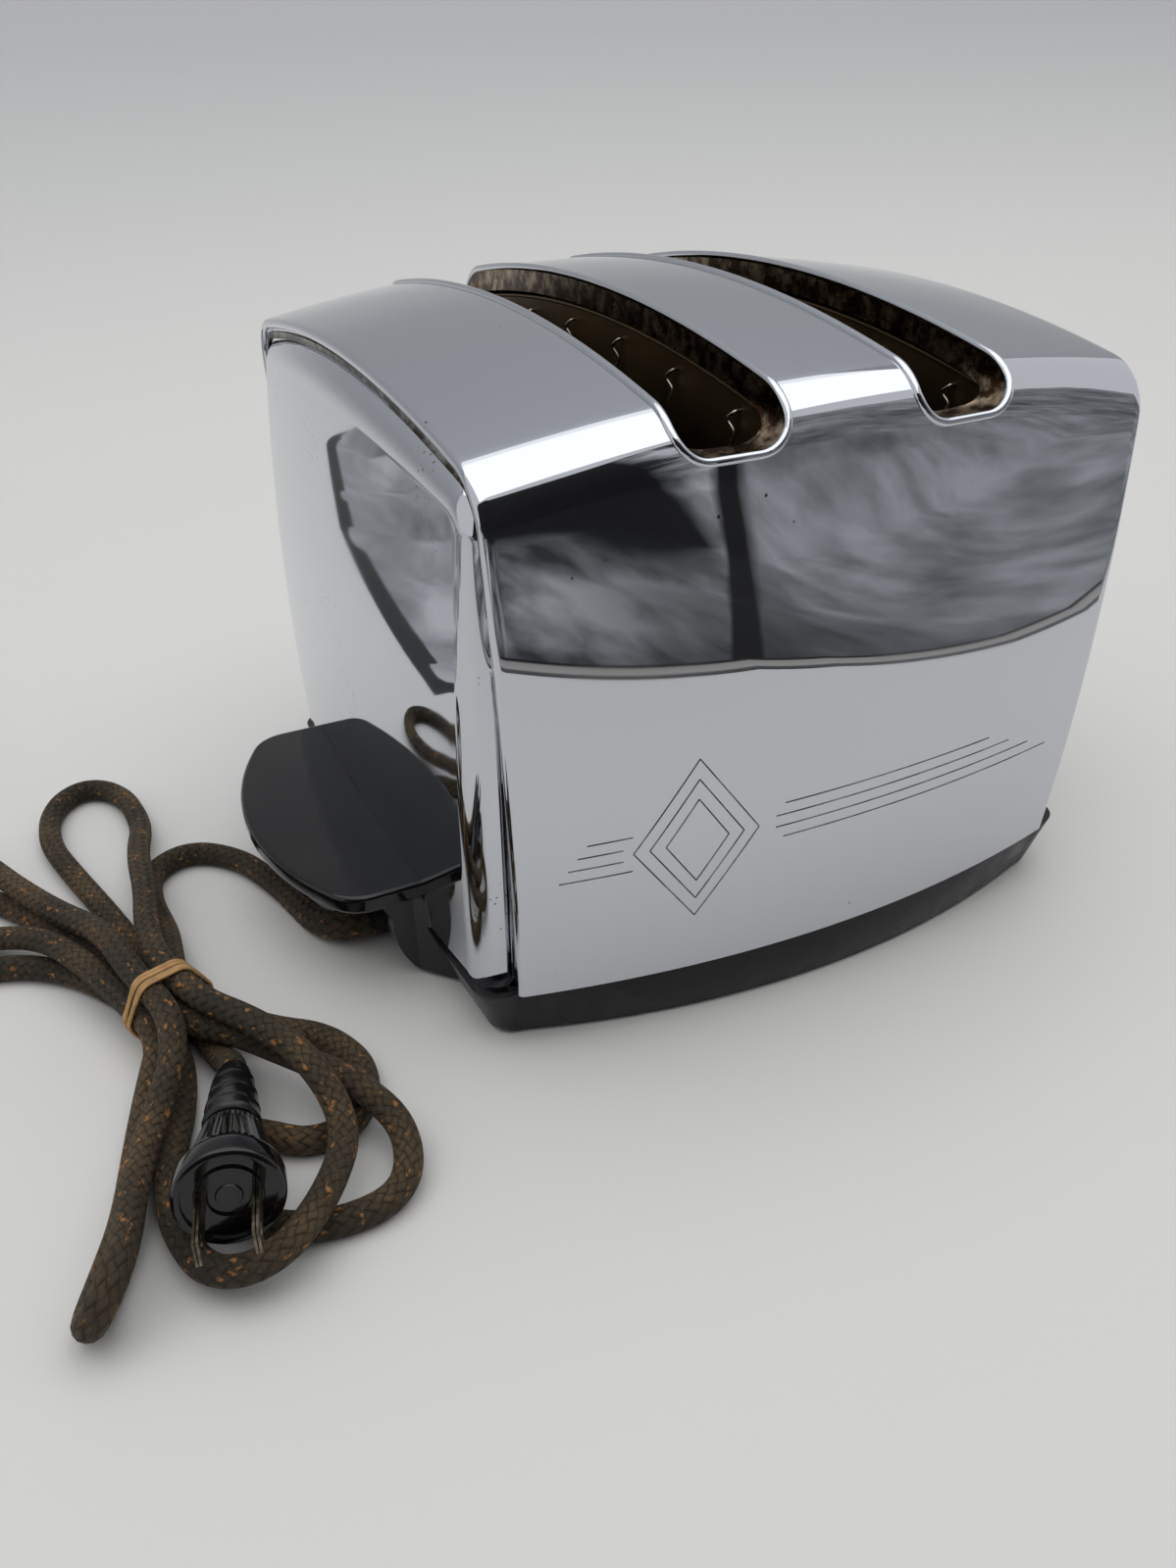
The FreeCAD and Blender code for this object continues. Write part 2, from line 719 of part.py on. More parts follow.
def handleWeb():
    root, under = "seamLow + panelInset", "gripTop - gripThick + 1"
    profile = [("endLowHalf - baseWall", "footRise"), ("webFoot", "footRise"), ("webNeck", "webNeckAt"),
               ("webNeck + webCove", under), (root, under)]
    bows = {1: ("webBelly", "webBellyAt"), 2: ("webNeck + 0.26 * webCove", "webNeckAt + 0.7 * webCove")}
    band = slab("webBand", "XZ_Plane", "0", profile, "3 * webHalf", bows, middle=True)
    inner = "endLowHalf - baseWall"
    plan = [(inner, "-webFlare"), ("endLowHalf", "-webFlare"), ("webFoot", "-webHalf"),
            ("gripFar", "-webHalf"), ("gripFar", "webHalf"), ("webFoot", "webHalf"),
            ("endLowHalf", "webFlare"), (inner, "webFlare")]
    return common("web", band, slab("webPlan", "XY_Plane", "0", plan, "gripTop"))


handleForm = cut("handleForm", cut("handleSeat", fuse("handleWhole", [gripPlate(), handleWeb()]), baseSolid),
                 panelSolid)
keep(cut("handleOnRight", handleForm, group("rightBores", screwsRight)), "handle_right")
keep(cut("handleOnLeft", mirrored("handleTwin", handleForm), fuse("leftBores", screwsLeft + [bushing])),
     "handle_left")


# bottom plate, crumb tray and feet
bottomBody = doc.addObject("PartDesign::Body", "bottomBlank")
bottomPlan = basePlan(bottomBody, "bottomOutline", plateFloor, "Low", "baseWall + 0.2", True)
pad(bottomBody, bottomPlan, "sheetMetal")
pinAt, pinY = "plateRise - 1.2", "(hatchHalfY - 1)"
barrel = "(pinThick / 2 + 1)"
opening = box("trayOpening", ("-hatchHalfX", "hatchHalfX"), ("-hatchHalfY", "hatchHalfY + 2.4"),
              ("0", "2 * plateRise"))


def knuckle(name, x0, x1, y0, y1):
    """hinge eye round the tray's pin with a leaf to the sheet it belongs to"""
    eye = bar(name + "Eye", barrel, "(%s) - (%s)" % (x1, x0), x0, pinY, pinAt, alongX, 10)
    leaf = box(name + "Leaf", (x0, x1), (y0, y1), (plateFloor, "plateRise"))
    return [eye, leaf]


hingePin = rod("hingePin", "pinThick / 2", "2 * hatchHalfX - 2", "1 - hatchHalfX", pinY, pinAt, alongX)
hingeBore = rod("hingeBore", "pinThick / 2 + runFit", "3 * hatchHalfX", "-1.5 * hatchHalfX", pinY, pinAt,
                alongX)
fixedEyes = (knuckle("eyeLeft", "2 - hatchHalfX", "12 - hatchHalfX", pinY, "hatchHalfY + 4")
             + knuckle("eyeRight", "hatchHalfX - 12", "hatchHalfX - 2", pinY, "hatchHalfY + 4"))
sheetWithEyes = fuse("sheetWithEyes", [cut("bottomOpen", bottomBody, opening)] + fixedEyes)
keep(cut("bottomBored", sheetWithEyes, fuse("bottomBores", [hingePin] + underScrews)), "bottom_plate")
keep(hingePin, "tray_hinge_pin")
leafEnd = "%s - %s" % (pinY, barrel)
trayBlank = box("trayBlank", ("hatchGap - hatchHalfX", "hatchHalfX - hatchGap"),
                ("hatchGap - hatchHalfY", leafEnd + " - 1"), (plateFloor, "plateRise"))
trayEyes = (knuckle("trayEyeLeft", "16 - hatchHalfX", "30 - hatchHalfX", leafEnd + " - 2", pinY)
            + knuckle("trayEyeRight", "hatchHalfX - 30", "hatchHalfX - 16", leafEnd + " - 2", pinY))
trayLip = box("trayLip", ("-10", "10"), ("hatchGap - hatchHalfY", "hatchGap - hatchHalfY + 1.2"),
              ("1.2", plateFloor))
keep(cut("trayBored", fuse("trayWhole", [trayBlank, trayLip] + trayEyes), hingeBore), "crumb_tray")
feet = [bar("foot" + tag, "footThick / 2", plateFloor, x + "footX", y + "footY", "0", sides=16)
        for tag, x, y in corners4]
keep(group("footGroup", feet), "rubber_feet")


# inner sheets: end frames, side shields, guard plates and the middle baffle
crossLow = "(rackTop - rackDeep - crossbarThick)"
passLow, passHigh = crossLow + " - liftTravel - 3", crossLow + " + crossbarThick + 3"
guardNear, guardFar = "(slotNear - guardGap - sheetMetal)", "(slotFar + guardGap)"
slotMid = "((slotNear + slotFar) / 2)"
chassisOut = "(chassisHalf + sheetMetal)"
barPasses = [box("barPass" + tag, everyX,
                 (side + "rackHalf - passWide / 2", side + "rackHalf + passWide / 2"),
                 (passLow, passHigh)) for tag, side in (("Back", ""), ("Front", "-"))]
passes = fuse("passes", barPasses)


def sheetY(name, x, low, high):
    """upright sheet that spans between the two side shields"""
    return box(name, (x, x + " + sheetMetal"), ("-shieldY", "shieldY"), (low, high))


def endFrame():
    legs = []
    for tag, near, far in (("Back", "legNear", "legFar"), ("Front", "-legFar", "-legNear")):
        legs.append(box("leg" + tag, ("chassisHalf", chassisOut), (near, far),
                        ("plateRise", "chassisLow + 1")))
        legs.append(box("toe" + tag, ("chassisHalf", chassisOut + " + legFoot"), (near, far),
                        ("plateRise", "plateRise + sheetMetal")))
    sheet = sheetY("endSheet", "chassisHalf", "chassisLow", "chassisHigh")
    return cut("endFrame", fuse("endFrameWhole", [sheet] + legs), passes)


frameRight = keep(endFrame(), "chassis_right")
keep(mirrored("endFrameTwin", frameRight), "chassis_left")
for tag, label, y in (("Back", "shield_back", ("shieldY", "shieldY + sheetMetal")),
                      ("Front", "shield_front", ("-shieldY - sheetMetal", "-shieldY"))):
    keep(box("shield" + tag, ("-" + chassisOut, chassisOut), y, ("chassisLow", "chassisHigh")), label)
keep(cut("baffle", box("baffleSheet", ("-sheetMetal / 2", "sheetMetal / 2"), ("-shieldY", "shieldY"),
                       ("guardLow", "baffleHigh")), passes), "center_baffle")
guardForm = pillow("guardForm", "guardDrop")
windows = [box("window%d" % i, ("0", "2 * slotFar"),
               ("%d * wirePitch - windowWide / 2" % i, "%d * wirePitch + windowWide / 2" % i),
               ("windowLow", "windowHigh")) for i in range(-2, 3)]


def guard(name, x):
    sheet = common(name + "Sheet", sheetY(name + "Blank", x, "guardLow", "crownTop"), guardForm)
    return cut(name, sheet, fuse(name + "Holes", windows + [passes]))


guardInner, guardOuter = guard("guardInner", guardNear), guard("guardOuter", guardFar)
keep(guardInner, "guard_right_inner")
keep(guardOuter, "guard_right_outer")
keep(mirrored("guardInnerTwin", guardInner), "guard_left_inner")
keep(mirrored("guardOuterTwin", guardOuter), "guard_left_outer")


# swept pieces of round or flat wire


def ringOf(centre, normal, radius, sides):
    """closed outline with a given number of corners, square to a direction"""
    normal = Vector(normal).normalize()
    seed = Vector(0, 0, 1) if abs(normal.z) < 0.9 else Vector(1, 0, 0)
    across = normal.cross(seed).normalize()
    up = normal.cross(across)
    points = []
    for i in range(sides):
        angle = 2 * math.pi * (i + 0.5) / sides
        points.append(centre + across * (radius * math.cos(angle)) + up * (radius * math.sin(angle)))
    return Part.makePolygon(points + points[:1])


def swept(edges, start, normal, radius, sides, corner=0):
    """solid of a many-sided section carried along joined edges"""
    path = Part.BRepOffsetAPI.MakePipeShell(Part.Wire(edges))
    path.setTransitionMode(corner)
    path.add(ringOf(start, normal, radius, sides))
    path.build()
    path.makeSolid()
    return path.shape()


def polyline(points):
    return [Part.LineSegment(a, b).toShape() for a, b in zip(points, points[1:])]


def guideWires(name, face, sign):
    """hooked upright wires standing off one guard plate, both ends on the plate"""
    solids = []
    face, reach, thick = value(face), value("wireStand"), value("wireThick")
    for i in range(6):
        y = (i - 2.5) * value("wirePitch")
        top = value("crownTop - guardDrop - wireDrop") - y * y / (2 * value("archRadius - guardDrop"))
        low = value("wireLow")
        out = face + sign * reach
        points = [Vector(face, y, top), Vector(out, y, top), Vector(out, y, low), Vector(face, y, low)]
        solids.append(swept(polyline(points), points[0], Vector(sign, 0, 0), thick / 2, 4, 1))
    return shaped(name, Part.makeCompound(solids))


wiresInner = guideWires("wiresInner", guardNear + " + sheetMetal", 1)
wiresOuter = guideWires("wiresOuter", guardFar, -1)
keep(wiresInner, "guide_wires_right_inner")
keep(wiresOuter, "guide_wires_right_outer")
keep(mirrored("wiresInnerTwin", wiresInner), "guide_wires_left_inner")
keep(mirrored("wiresOuterTwin", wiresOuter), "guide_wires_left_outer")


# heaters: mica cards with ears to the shields, each wound with one flat ribbon


def card(name, x):
    span = (x, x + " + cardThick")
    return fuse(name, [box(name + "Web", span, ("-cardHalf", "cardHalf"), ("cardLow", "cardHigh")),
                       box(name + "Top", span, ("-shieldY", "shieldY"), ("cardHigh - earTall", "cardHigh")),
                       box(name + "Foot", span, ("-shieldY", "shieldY"), ("cardLow", "cardLow + earTall"))])


def ribbon(name, x):
    """one flat ribbon wound round a card, down the front and back in slanting runs"""
    x, t, w = value(x), value("ribbonThick"), value("ribbonWide")
    half, step = value("cardHalf") + t, value("ribbonPitch") / 2
    back = x + value("cardThick")
    low = value("ribbonLow")
    turns = int(value("(cardHigh - earTall - ribbonLow) / ribbonPitch"))
    pieces = []
    for i in range(2 * turns):
        z = low + i * step
        side = -1 if i % 2 == 0 else 1
        face = x - t if i % 2 == 0 else back
        corners = [Vector(face, side * half, z), Vector(face, -side * half, z + step),
                   Vector(face, -side * half, z + step + w), Vector(face, side * half, z + w)]
        run = Part.Face(Part.makePolygon(corners + corners[:1])).extrude(Vector(t, 0, 0))
        pieces.append(run)
        if i < 2 * turns - 1:
            edge = -side * half if side > 0 else half - t
            pieces.append(Part.makeBox(2 * t + back - x, t, w, Vector(x - t, edge, z + step)))
    whole = pieces[0].multiFuse(pieces[1:]).removeSplitter()
    print(name, "turns", turns, "least gap to itself %.2f mm" % (2 * step - w))
    return shaped(name, whole.Solids[0])


for tag, x in (("inner", guardNear + " - cardGap"),
               ("outer", guardFar + " + sheetMetal + cardGap - cardThick")):
    mica, wound = card("card_" + tag, x), ribbon("ribbon_" + tag, x)
    keep(mica, "heater_card_right_" + tag)
    keep(wound, "heater_ribbon_right_" + tag)
    keep(mirrored("card_twin_" + tag, mica), "heater_card_left_" + tag)
    keep(mirrored("ribbon_twin_" + tag, wound), "heater_ribbon_left_" + tag)


# bread racks on the lift carriage


def rack():
    body = doc.addObject("PartDesign::Body", "rackBody")
    spine = sketchOn(body, "rackSpine", "YZ_Plane", slotMid + " - rackThick / 2")
    outline(spine, frameOf("-rackHalf", "rackHalf", "rackTop - rackDeep", "rackTop"))
    pad(body, spine, "rackThick")
    finger = sketchOn(body, "rackFingerOutline", "XY_Plane", "rackTop - rackThick")
    first = "-3 * fingerPitch"
    outline(finger, frameOf(slotMid + " - rackFinger", slotMid + " + rackFinger",
                            first + " - fingerWide / 2", first + " + fingerWide / 2"))
    fingerPad = pad(body, finger, "rackThick")
    doc.recompute()
    row = body.newObject("PartDesign::LinearPattern", "rackFingers")
    row.Originals = [fingerPad]
    row.Direction = (finger, ["V_Axis"])
    tie(row, Length="6 * fingerPitch")
    row.Occurrences = 7
    body.Tip = row
    return body


rackRight = keep(rack(), "bread_rack_right")
keep(mirrored("rackTwin", rackRight), "bread_rack_left")
rodX = "(%s + rodOff)" % chassisOut
plateX = "(%s + plateOff)" % chassisOut
plateLow = "(%s - 1)" % crossLow
plateTop = "(leverAt + leverTall / 2 + 1)"
shoulder = "(%s + plateTall)" % plateLow
liftPlate = slab("liftPlate", "YZ_Plane", plateX, [
    ("-plateHalf", plateLow), ("plateHalf", plateLow), ("plateHalf", shoulder),
    ("plateNeck + 8", shoulder), ("plateNeck", plateTop), ("-plateNeck", plateTop),
    ("-plateNeck - 8", shoulder), ("-plateHalf", shoulder)], "plateThick")
crossbars = [box("crossbar" + tag, ("-%s - crossbarThick / 2" % slotMid, plateX),
                 (side + "rackHalf - crossbarThick / 2", side + "rackHalf + crossbarThick / 2"),
                 (crossLow, crossLow + " + crossbarThick")) for tag, side in (("Back", ""), ("Front", "-"))]
bush = rod("liftBush", "bushThick / 2", "bushTall", rodX, "rodY", plateLow)
bushArm = box("bushArm", (plateX, rodX), ("rodY - rodThick / 2 - 1", "rodY + rodThick / 2 + 1"),
              (plateLow, plateLow + " + bushTall"))
latchTab = box("latchTab", (plateX, plateX + " + plateThick + 4.5"), ("-tabFar", "-tabNear"),
               ("tabAt - 2", "tabAt"))
rodBore = rod("rodBore", "rodThick / 2 + runFit", "crownTop", rodX, "rodY", "0")
carriage = keep(cut("carriageBored", fuse("carriageWhole", [liftPlate, bush, bushArm, latchTab] + crossbars),
                    rodBore), "lift_carriage")
guideRod = keep(rod("guideRod", "rodThick / 2", "rodTop - plateRise", rodX, "rodY", "plateRise"),
                "guide_rod")
stay = fuse("stay", [
    box("stayArm", (chassisOut, rodX + " + rodThick"), ("rodY - 8", "rodY + 8"),
        ("chassisHigh - 4", "chassisHigh - 4 + plateThick")),
    box("stayFlange", (chassisOut, chassisOut + " + sheetMetal"), ("rodY - 8", "rodY + 8"),
        ("chassisHigh - 20", "chassisHigh - 4 + plateThick"))])
keep(cut("stayBored", stay, guideRod), "rod_bracket")


springTurns = 5
springSides, leadSides = 4, 5


def liftSpring():
    """open coil spring round the rod, from the bottom plate up to the bushing"""
    thick, across = value("springThick"), value("springRound") / 2
    low, high = value("plateRise") + thick / 2, value(plateLow) - thick / 2
    pitch = (high - low) / springTurns
    helix = Part.makeHelix(pitch, high - low, across)
    centre = Vector(value(rodX), value("rodY"), low)
    helix.translate(centre)
    start = centre + Vector(across, 0, 0)
    print("lift spring turns", springTurns, "least gap to itself %.2f mm" % (pitch - thick))
    climb = Vector(0, 1, pitch / (2 * math.pi * across))
    return shaped("springWire", swept(helix.Edges, start, climb, thick / 2, springSides))


keep(liftSpring(), "lift_spring")
lever = keep(box("leverBar", (plateX + " + plateThick", "knobNear + 4"), ("-leverWide / 2", "leverWide / 2"),
                 ("leverAt - leverTall / 2", "leverAt + leverTall / 2")), "lift_lever")
knobBlock = box("knobBlock", ("knobNear", "knobFar"), ("-knobHalf", "knobHalf"),
                ("leverAt - knobTall / 2", "leverAt + knobTall / 2"))
knobSoft = rounded("knobSoft", knobBlock, "3", lambda e: along(e, alongX))
keep(cut("knobSocket", knobSoft, lever), "lift_knob")


# latch that holds the carriage down, with its pin
armX = "(%s + plateThick + 1)" % plateX
armNear, armFar = "-latchY - latchWide / 2", "-latchY + latchWide / 2"
armLow = "latchAt - latchWide / 2"
latchArm = slab("latchArm", "YZ_Plane", armX, [
    (armNear, armLow), (armFar, armLow), (armFar, "hookAt"), (armFar + " + latchHook", "hookAt"),
    (armFar + " + latchHook", "hookAt + 2"), (armFar, "hookAt + 6"), (armNear, "hookAt + 6")], "latchThick")
latchBore = rod("latchBore", "pinThick / 2 + runFit", "panelFar", "0", "-latchY", "latchAt", alongX)
keep(cut("latchBored", latchArm, latchBore), "latch")
shankLong = "%s + latchThick + 1.2 - %s" % (armX, chassisOut)
keep(fuse("latchPinWhole", [
    rod("latchShank", "pinThick / 2", shankLong, chassisOut, "-latchY", "latchAt", alongX),
    bar("latchPinHead", "pinThick", "1.2", armX + " + latchThick + 0.2", "-latchY", "latchAt", alongX)]),
     "latch_pin")
keep(box("bimetalFoot", ("bimetalX - 4", "bimetalX"), ("-bimetalY - 6", "-bimetalY + 6"),
         ("plateRise", "plateRise + 10")), "bimetal_bracket")
keep(box("bimetalStrip", ("bimetalX", "bimetalX + 1"), ("-bimetalY - 4", "-bimetalY + 4"),
         ("plateRise + 1", "plateRise + bimetalTall")), "bimetal_strip")


# browning control: a swinging arm on an upright pin with its knob outside the panel
hub = rod("dialHub", "2 * pinThick", "dialThick", "dialX", "0", "dialAt - dialThick / 2")
arm = box("dialArmBar", ("dialX", "dialX + dialArm"), ("-leverWide", "leverWide"),
          ("dialAt - dialThick / 2", "dialAt + dialThick / 2"))
dialBore = rod("dialBore", "pinThick / 2 + runFit", "crownTop", "dialX", "0", "0")
dialBar = keep(cut("dialBored", fuse("dialWhole", [hub, arm]), dialBore), "browning_lever")
dialKnob = box("dialKnobBlock", ("dialX + dialArm - 4", "dialX + dialArm + 6"),
               ("-1.5 * leverWide", "1.5 * leverWide"), ("dialAt - 4", "dialAt + 4"))
keep(cut("dialKnobSocket", dialKnob, dialBar), "browning_knob")
collar = "dialAt - dialThick / 2"
keep(fuse("dialPinWhole", [
    bar("dialPost", "pinThick", collar + " - plateRise", "dialX", "0", "plateRise"),
    rod("dialPin", "pinThick / 2", "dialThick + 1", "dialX", "0", collar),
    bar("dialPinHead", "pinThick", "1", "dialX", "0", "dialAt + dialThick / 2 + 0.2")]), "browning_post")


# supply side: contact switch, terminal block and the two inner leads
keep(box("switchBlock", ("blockX", "blockX + 9"), ("switchY", "switchY + 16"),
         ("plateRise", "plateRise + 16")), "contact_switch")
leaves = [box("switchLeaf" + tag, ("blockX + 4", "blockX + 4.8"), ("switchY + " + y, "switchY + %s + 3" % y),
              ("plateRise + 16", "plateRise + 30")) for tag, y in (("A", "3"), ("B", "10"))]
keep(group("switchLeaves", leaves), "switch_contacts")
keep(box("terminalBlock", ("-blockX - 10", "-blockX"), ("exitY - blockLong / 2", "exitY + blockLong / 2"),
         ("plateRise", "plateRise + blockTall")), "terminal_block")
keep(group("terminalScrews", [bar("terminalScrew" + tag, "screwThick / 2 + 0.7", "1.6", "-blockX - 5",
                                  "exitY + " + y, "plateRise + blockTall")
                              for tag, y in (("A", "-6"), ("B", "6"))]), "terminal_screws")
leadStart = "(endLowHalf - tailLong)"
leadSpan = leadStart + " - blockX - 10"
keep(group("innerLeads", [bar("innerLead" + tag, "innerLead / 2", leadSpan, "-" + leadStart,
                              "exitY + " + y, "exitAt", alongX)
                          for tag, y in (("A", "-2.5"), ("B", "2.5"))]), "inner_leads")


# cloth-covered lead: chosen points of its route, gathered seven times through the band
route = [
    (-115, -30, 8), (-124, -30, 8), (-130, -20, 4.8), (-133, -6, 3.8), (-137, 10, 3.8), (-144, 30, 3.8),
    (-158, 43, 3.8), (-173, 37, 3.8), (-176, 18, 3.8), (-174, -4, 5.5), (-175, -20, 10),
    (-176, -33.2, 11.8), (-168.8, -56.1, 11.8), (-156, -63, 5.5), (-141, -72, 3.8), (-135, -90, 3.8),
    (-142, -107, 3.8), (-156, -110, 3.8), (-167, -100, 3.8), (-174.5, -95, 3.8), (-181.5, -99, 3.8),
    (-181.5, -113, 3.8), (-174, -130, 3.8), (-158, -138, 3.8), (-139, -136, 3.8), (-133, -119, 8),
    (-142, -101, 12.6), (-153, -84, 11), (-166, -68, 12.6), (-176.4, -58.5, 11.8),
    (-183.6, -35.6, 11.8), (-191, -14, 9), (-203, 10, 4.5), (-213, 29, 3.8), (-226, 48, 3.8),
    (-240, 60, 3.8), (-254, 52, 3.8), (-252, 34, 3.8), (-236, 24, 3.8), (-221, 17, 6), (-210, 3, 11.4),
    (-201, -13, 12.4), (-191.2, -38, 11.8), (-184, -60.9, 11.8), (-190.5, -75, 7.8), (-197, -92, 3.8),
    (-203, -114, 3.8), (-210, -129, 3.8), (-215, -140.3, 4.5), (-213, -146, 11.2),
    (-207, -141.8, 17.2), (-202.5, -130, 16.5), (-200, -117, 14), (-196, -103, 12.3),
    (-190, -90, 12.4), (-182.5, -76, 16), (-180.2, -59.7, 18.8), (-187.4, -36.8, 18.8),
    (-191.5, -14, 18.8), (-203, 10, 14), (-214, 34, 11.8), (-226, 62, 11.8), (-240, 84, 9),
    (-260, 80, 4), (-272, 60, 3.8), (-272, 32, 3.8), (-256, 12, 3.8), (-236, 7, 3.8), (-218, 3, 3.8),
    (-204, -8, 3.8), (-194, -23, 3.8), (-187.4, -36.8, 4.8), (-180.2, -59.7, 4.8), (-183, -81, 3.8),
    (-190.5, -101, 4.5), (-193, -122, 6), (-188, -142, 7), (-173, -148, 11.4), (-157, -134, 11.8),
    (-147, -116, 12), (-151, -95, 19.6), (-161, -75, 20.4), (-172.6, -57.3, 18.8),
    (-179.8, -34.4, 18.8), (-180, -14, 17.5), (-177, 9, 15), (-176, 37, 11.8), (-171, 66, 4.5),
    (-174, 94, 3.8), (-186, 106, 3.8), (-199, 96, 3.8), (-203, 72, 3.8), (-197, 46, 3.8),
    (-190, 20, 3.8), (-183, -10, 3.8), (-179.8, -34.4, 4.8), (-172.6, -57.3, 4.8), (-170.2, -69, 4.4),
    (-168.4, -79, 10.5), (-170, -87, 12.1),
]


def rounding(before, here, after):
    """arc that rounds one corner of the route, and its radius"""
    a, b = Vector(*before) - Vector(*here), Vector(*after) - Vector(*here)
    reach = 0.45 * min(a.Length, b.Length)
    turn = math.pi - a.getAngle(b)
    a, b = a.normalize(), b.normalize()
    radius = reach / math.tan(turn / 2)
    start, end = Vector(*here) + a * reach, Vector(*here) + b * reach
    inward = (a + b).normalize()
    centre = Vector(*here) + inward * (radius / math.cos(turn / 2))
    return start, centre - inward * radius, end, radius


def leadPath():
    edges, here, radii = [], Vector(*route[0]), []
    for before, point, after in zip(route, route[1:], route[2:]):
        start, middle, end, radius = rounding(before, point, after)
        edges += [Part.LineSegment(here, start).toShape(), Part.Arc(start, middle, end).toShape()]
        here = end
        radii.append(round(radius, 1))
    edges.append(Part.LineSegment(here, Vector(*route[-1])).toShape())
    print("lead radii", radii)
    return edges


def lead():
    edges = leadPath()
    radius = value("leadThick / 2")
    first = Vector(*route[1]) - Vector(*route[0])
    solid = swept(edges, Vector(*route[0]), first, radius, leadSides)
    length = sum(e.Length for e in edges)
    section = leadSides / 2 * radius ** 2 * math.sin(2 * math.pi / leadSides)
    print("lead length %.0f mm, volume %.1f, section times length %.1f"
          % (length, solid.Volume, section * length))
    return solid


keep(shaped("lead", lead()), "power_cord")


# band round the seven strands, and the plug with its tape at the far end


def bandOutline(radius):
    """belt round the six outer strands, each strand given as a place across and up"""
    pitch, low, rise = value("bandPitch / 2"), value("bandLow"), value("bandRise")
    strands = [(pitch, low), (2 * pitch, low + rise), (pitch, low + 2 * rise),
               (-pitch, low + 2 * rise), (-2 * pitch, low + rise), (-pitch, low)]
    centres = [Vector(0, u, z) for u, z in strands]
    edges, last = [], None
    count = len(centres)
    for i in range(count + 1):
        a, b = centres[i % count], centres[(i + 1) % count]
        away = (b - a).normalize().cross(alongX) * radius
        if last is not None:
            middle = a + (last + away).normalize() * radius
            edges.append(Part.Arc(a + last, middle, a + away).toShape())
        if i < count:
            edges.append(Part.LineSegment(a + away, b + away).toShape())
        last = away
    return Part.Face(Part.Wire(Part.__sortEdges__(edges)))


def rubberBand():
    inside = value("leadThick / 2 + runFit")
    long = Vector(value("bandWide"), 0, 0)
    ring = bandOutline(inside + value("bandThick")).extrude(long).cut(bandOutline(inside).extrude(long))
    ring.translate(long * -0.5)
    return ring


band = keep(shaped("rubberBand", rubberBand()), "rubber_band")
band.Placement = Placement(at("bandX", "bandY"), Rotation(Vector(0, 0, 1), value("bandTurn")))
tip = Vector(*route[-1])
axis = (tip - Vector(*route[-2])).normalize()
level = Vector(0, 0, 1).cross(axis).normalize()
facing = Rotation(axis, level, axis.cross(level), "XYZ")


def turned(name, corners):
    """body of revolution round its own X axis"""
    body = doc.addObject("PartDesign::Body", name)
    sketch = sketchOn(body, name + "Profile", "XY_Plane")
    outline(sketch, corners)
    feature = body.newObject("PartDesign::Revolution", name + "Turn")
    feature.Profile = sketch
    feature.ReferenceAxis = (sketch, ["H_Axis"])
    feature.Angle = 360
    return body


tape = keep(turned("tapeCone", [("0", "0"), ("0", "leadThick / 2 + 0.6"), ("tapeLong", "neckThick / 2"),
                                ("tapeLong", "0")]), "plug_tape")
tape.Placement = Placement(tip, facing)
joint = tip + axis * value("tapeLong")
ribbed = [("0", "0"), ("0", "neckThick / 2")]
for i in range(2):
    near, far = "(5 + %d * ribPitch)" % i, "(4 + %d * ribPitch + ribPitch / 2)" % i
    cone = "neckThick / 2 + (plugFace - neckThick / 2) * %s / plugLong"
    ribbed += [(near, cone % near), (near, cone % near + " - ribDeep"),
               (far, cone % far + " - ribDeep"), (far, cone % far)]
ribbed += [("plugLong - 5", "plugFace"), ("plugLong", "plugFace"), ("plugLong", "plugFace - 2.2"),
           ("plugLong - faceDeep", "plugFace - 2.2"), ("plugLong - faceDeep", "0")]
plug = keep(turned("plugTurned", ribbed), "plug_body")
plug.Placement = Placement(joint, facing)
blades = []
for tag, side in (("Left", -1), ("Right", 1)):
    blade = box("blade" + tag, ("plugLong - faceDeep", "plugLong + bladeLong"),
                ("%d * bladeGap / 2 - bladeThick / 2" % side, "%d * bladeGap / 2 + bladeThick / 2" % side),
                ("-bladeWide / 2", "bladeWide / 2"))
    blades.append(blade)
bladePair = keep(group("bladePair", blades), "plug_blades")
bladePair.Placement = Placement(joint, facing)


# every piece has to be sound before any file is written
doc.recompute()
faults = [thing.Label for thing in doc.Objects if "Invalid" in thing.State or "Error" in thing.State]
for piece in parts:
    shape = piece.Shape
    if shape.isNull() or not shape.isValid() or not shape.Solids or shape.Volume <= 0:
        faults.append(piece.Label)
if faults:
    raise RuntimeError("unsound: " + ", ".join(faults))
os.makedirs("parts", exist_ok=True)
for piece in parts:
    piece.Shape.exportStep("parts/%s.step" % piece.Label)
print(len(parts), "pieces")
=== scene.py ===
import json
import math
import bmesh
import bpy
from mathutils import Matrix, Vector

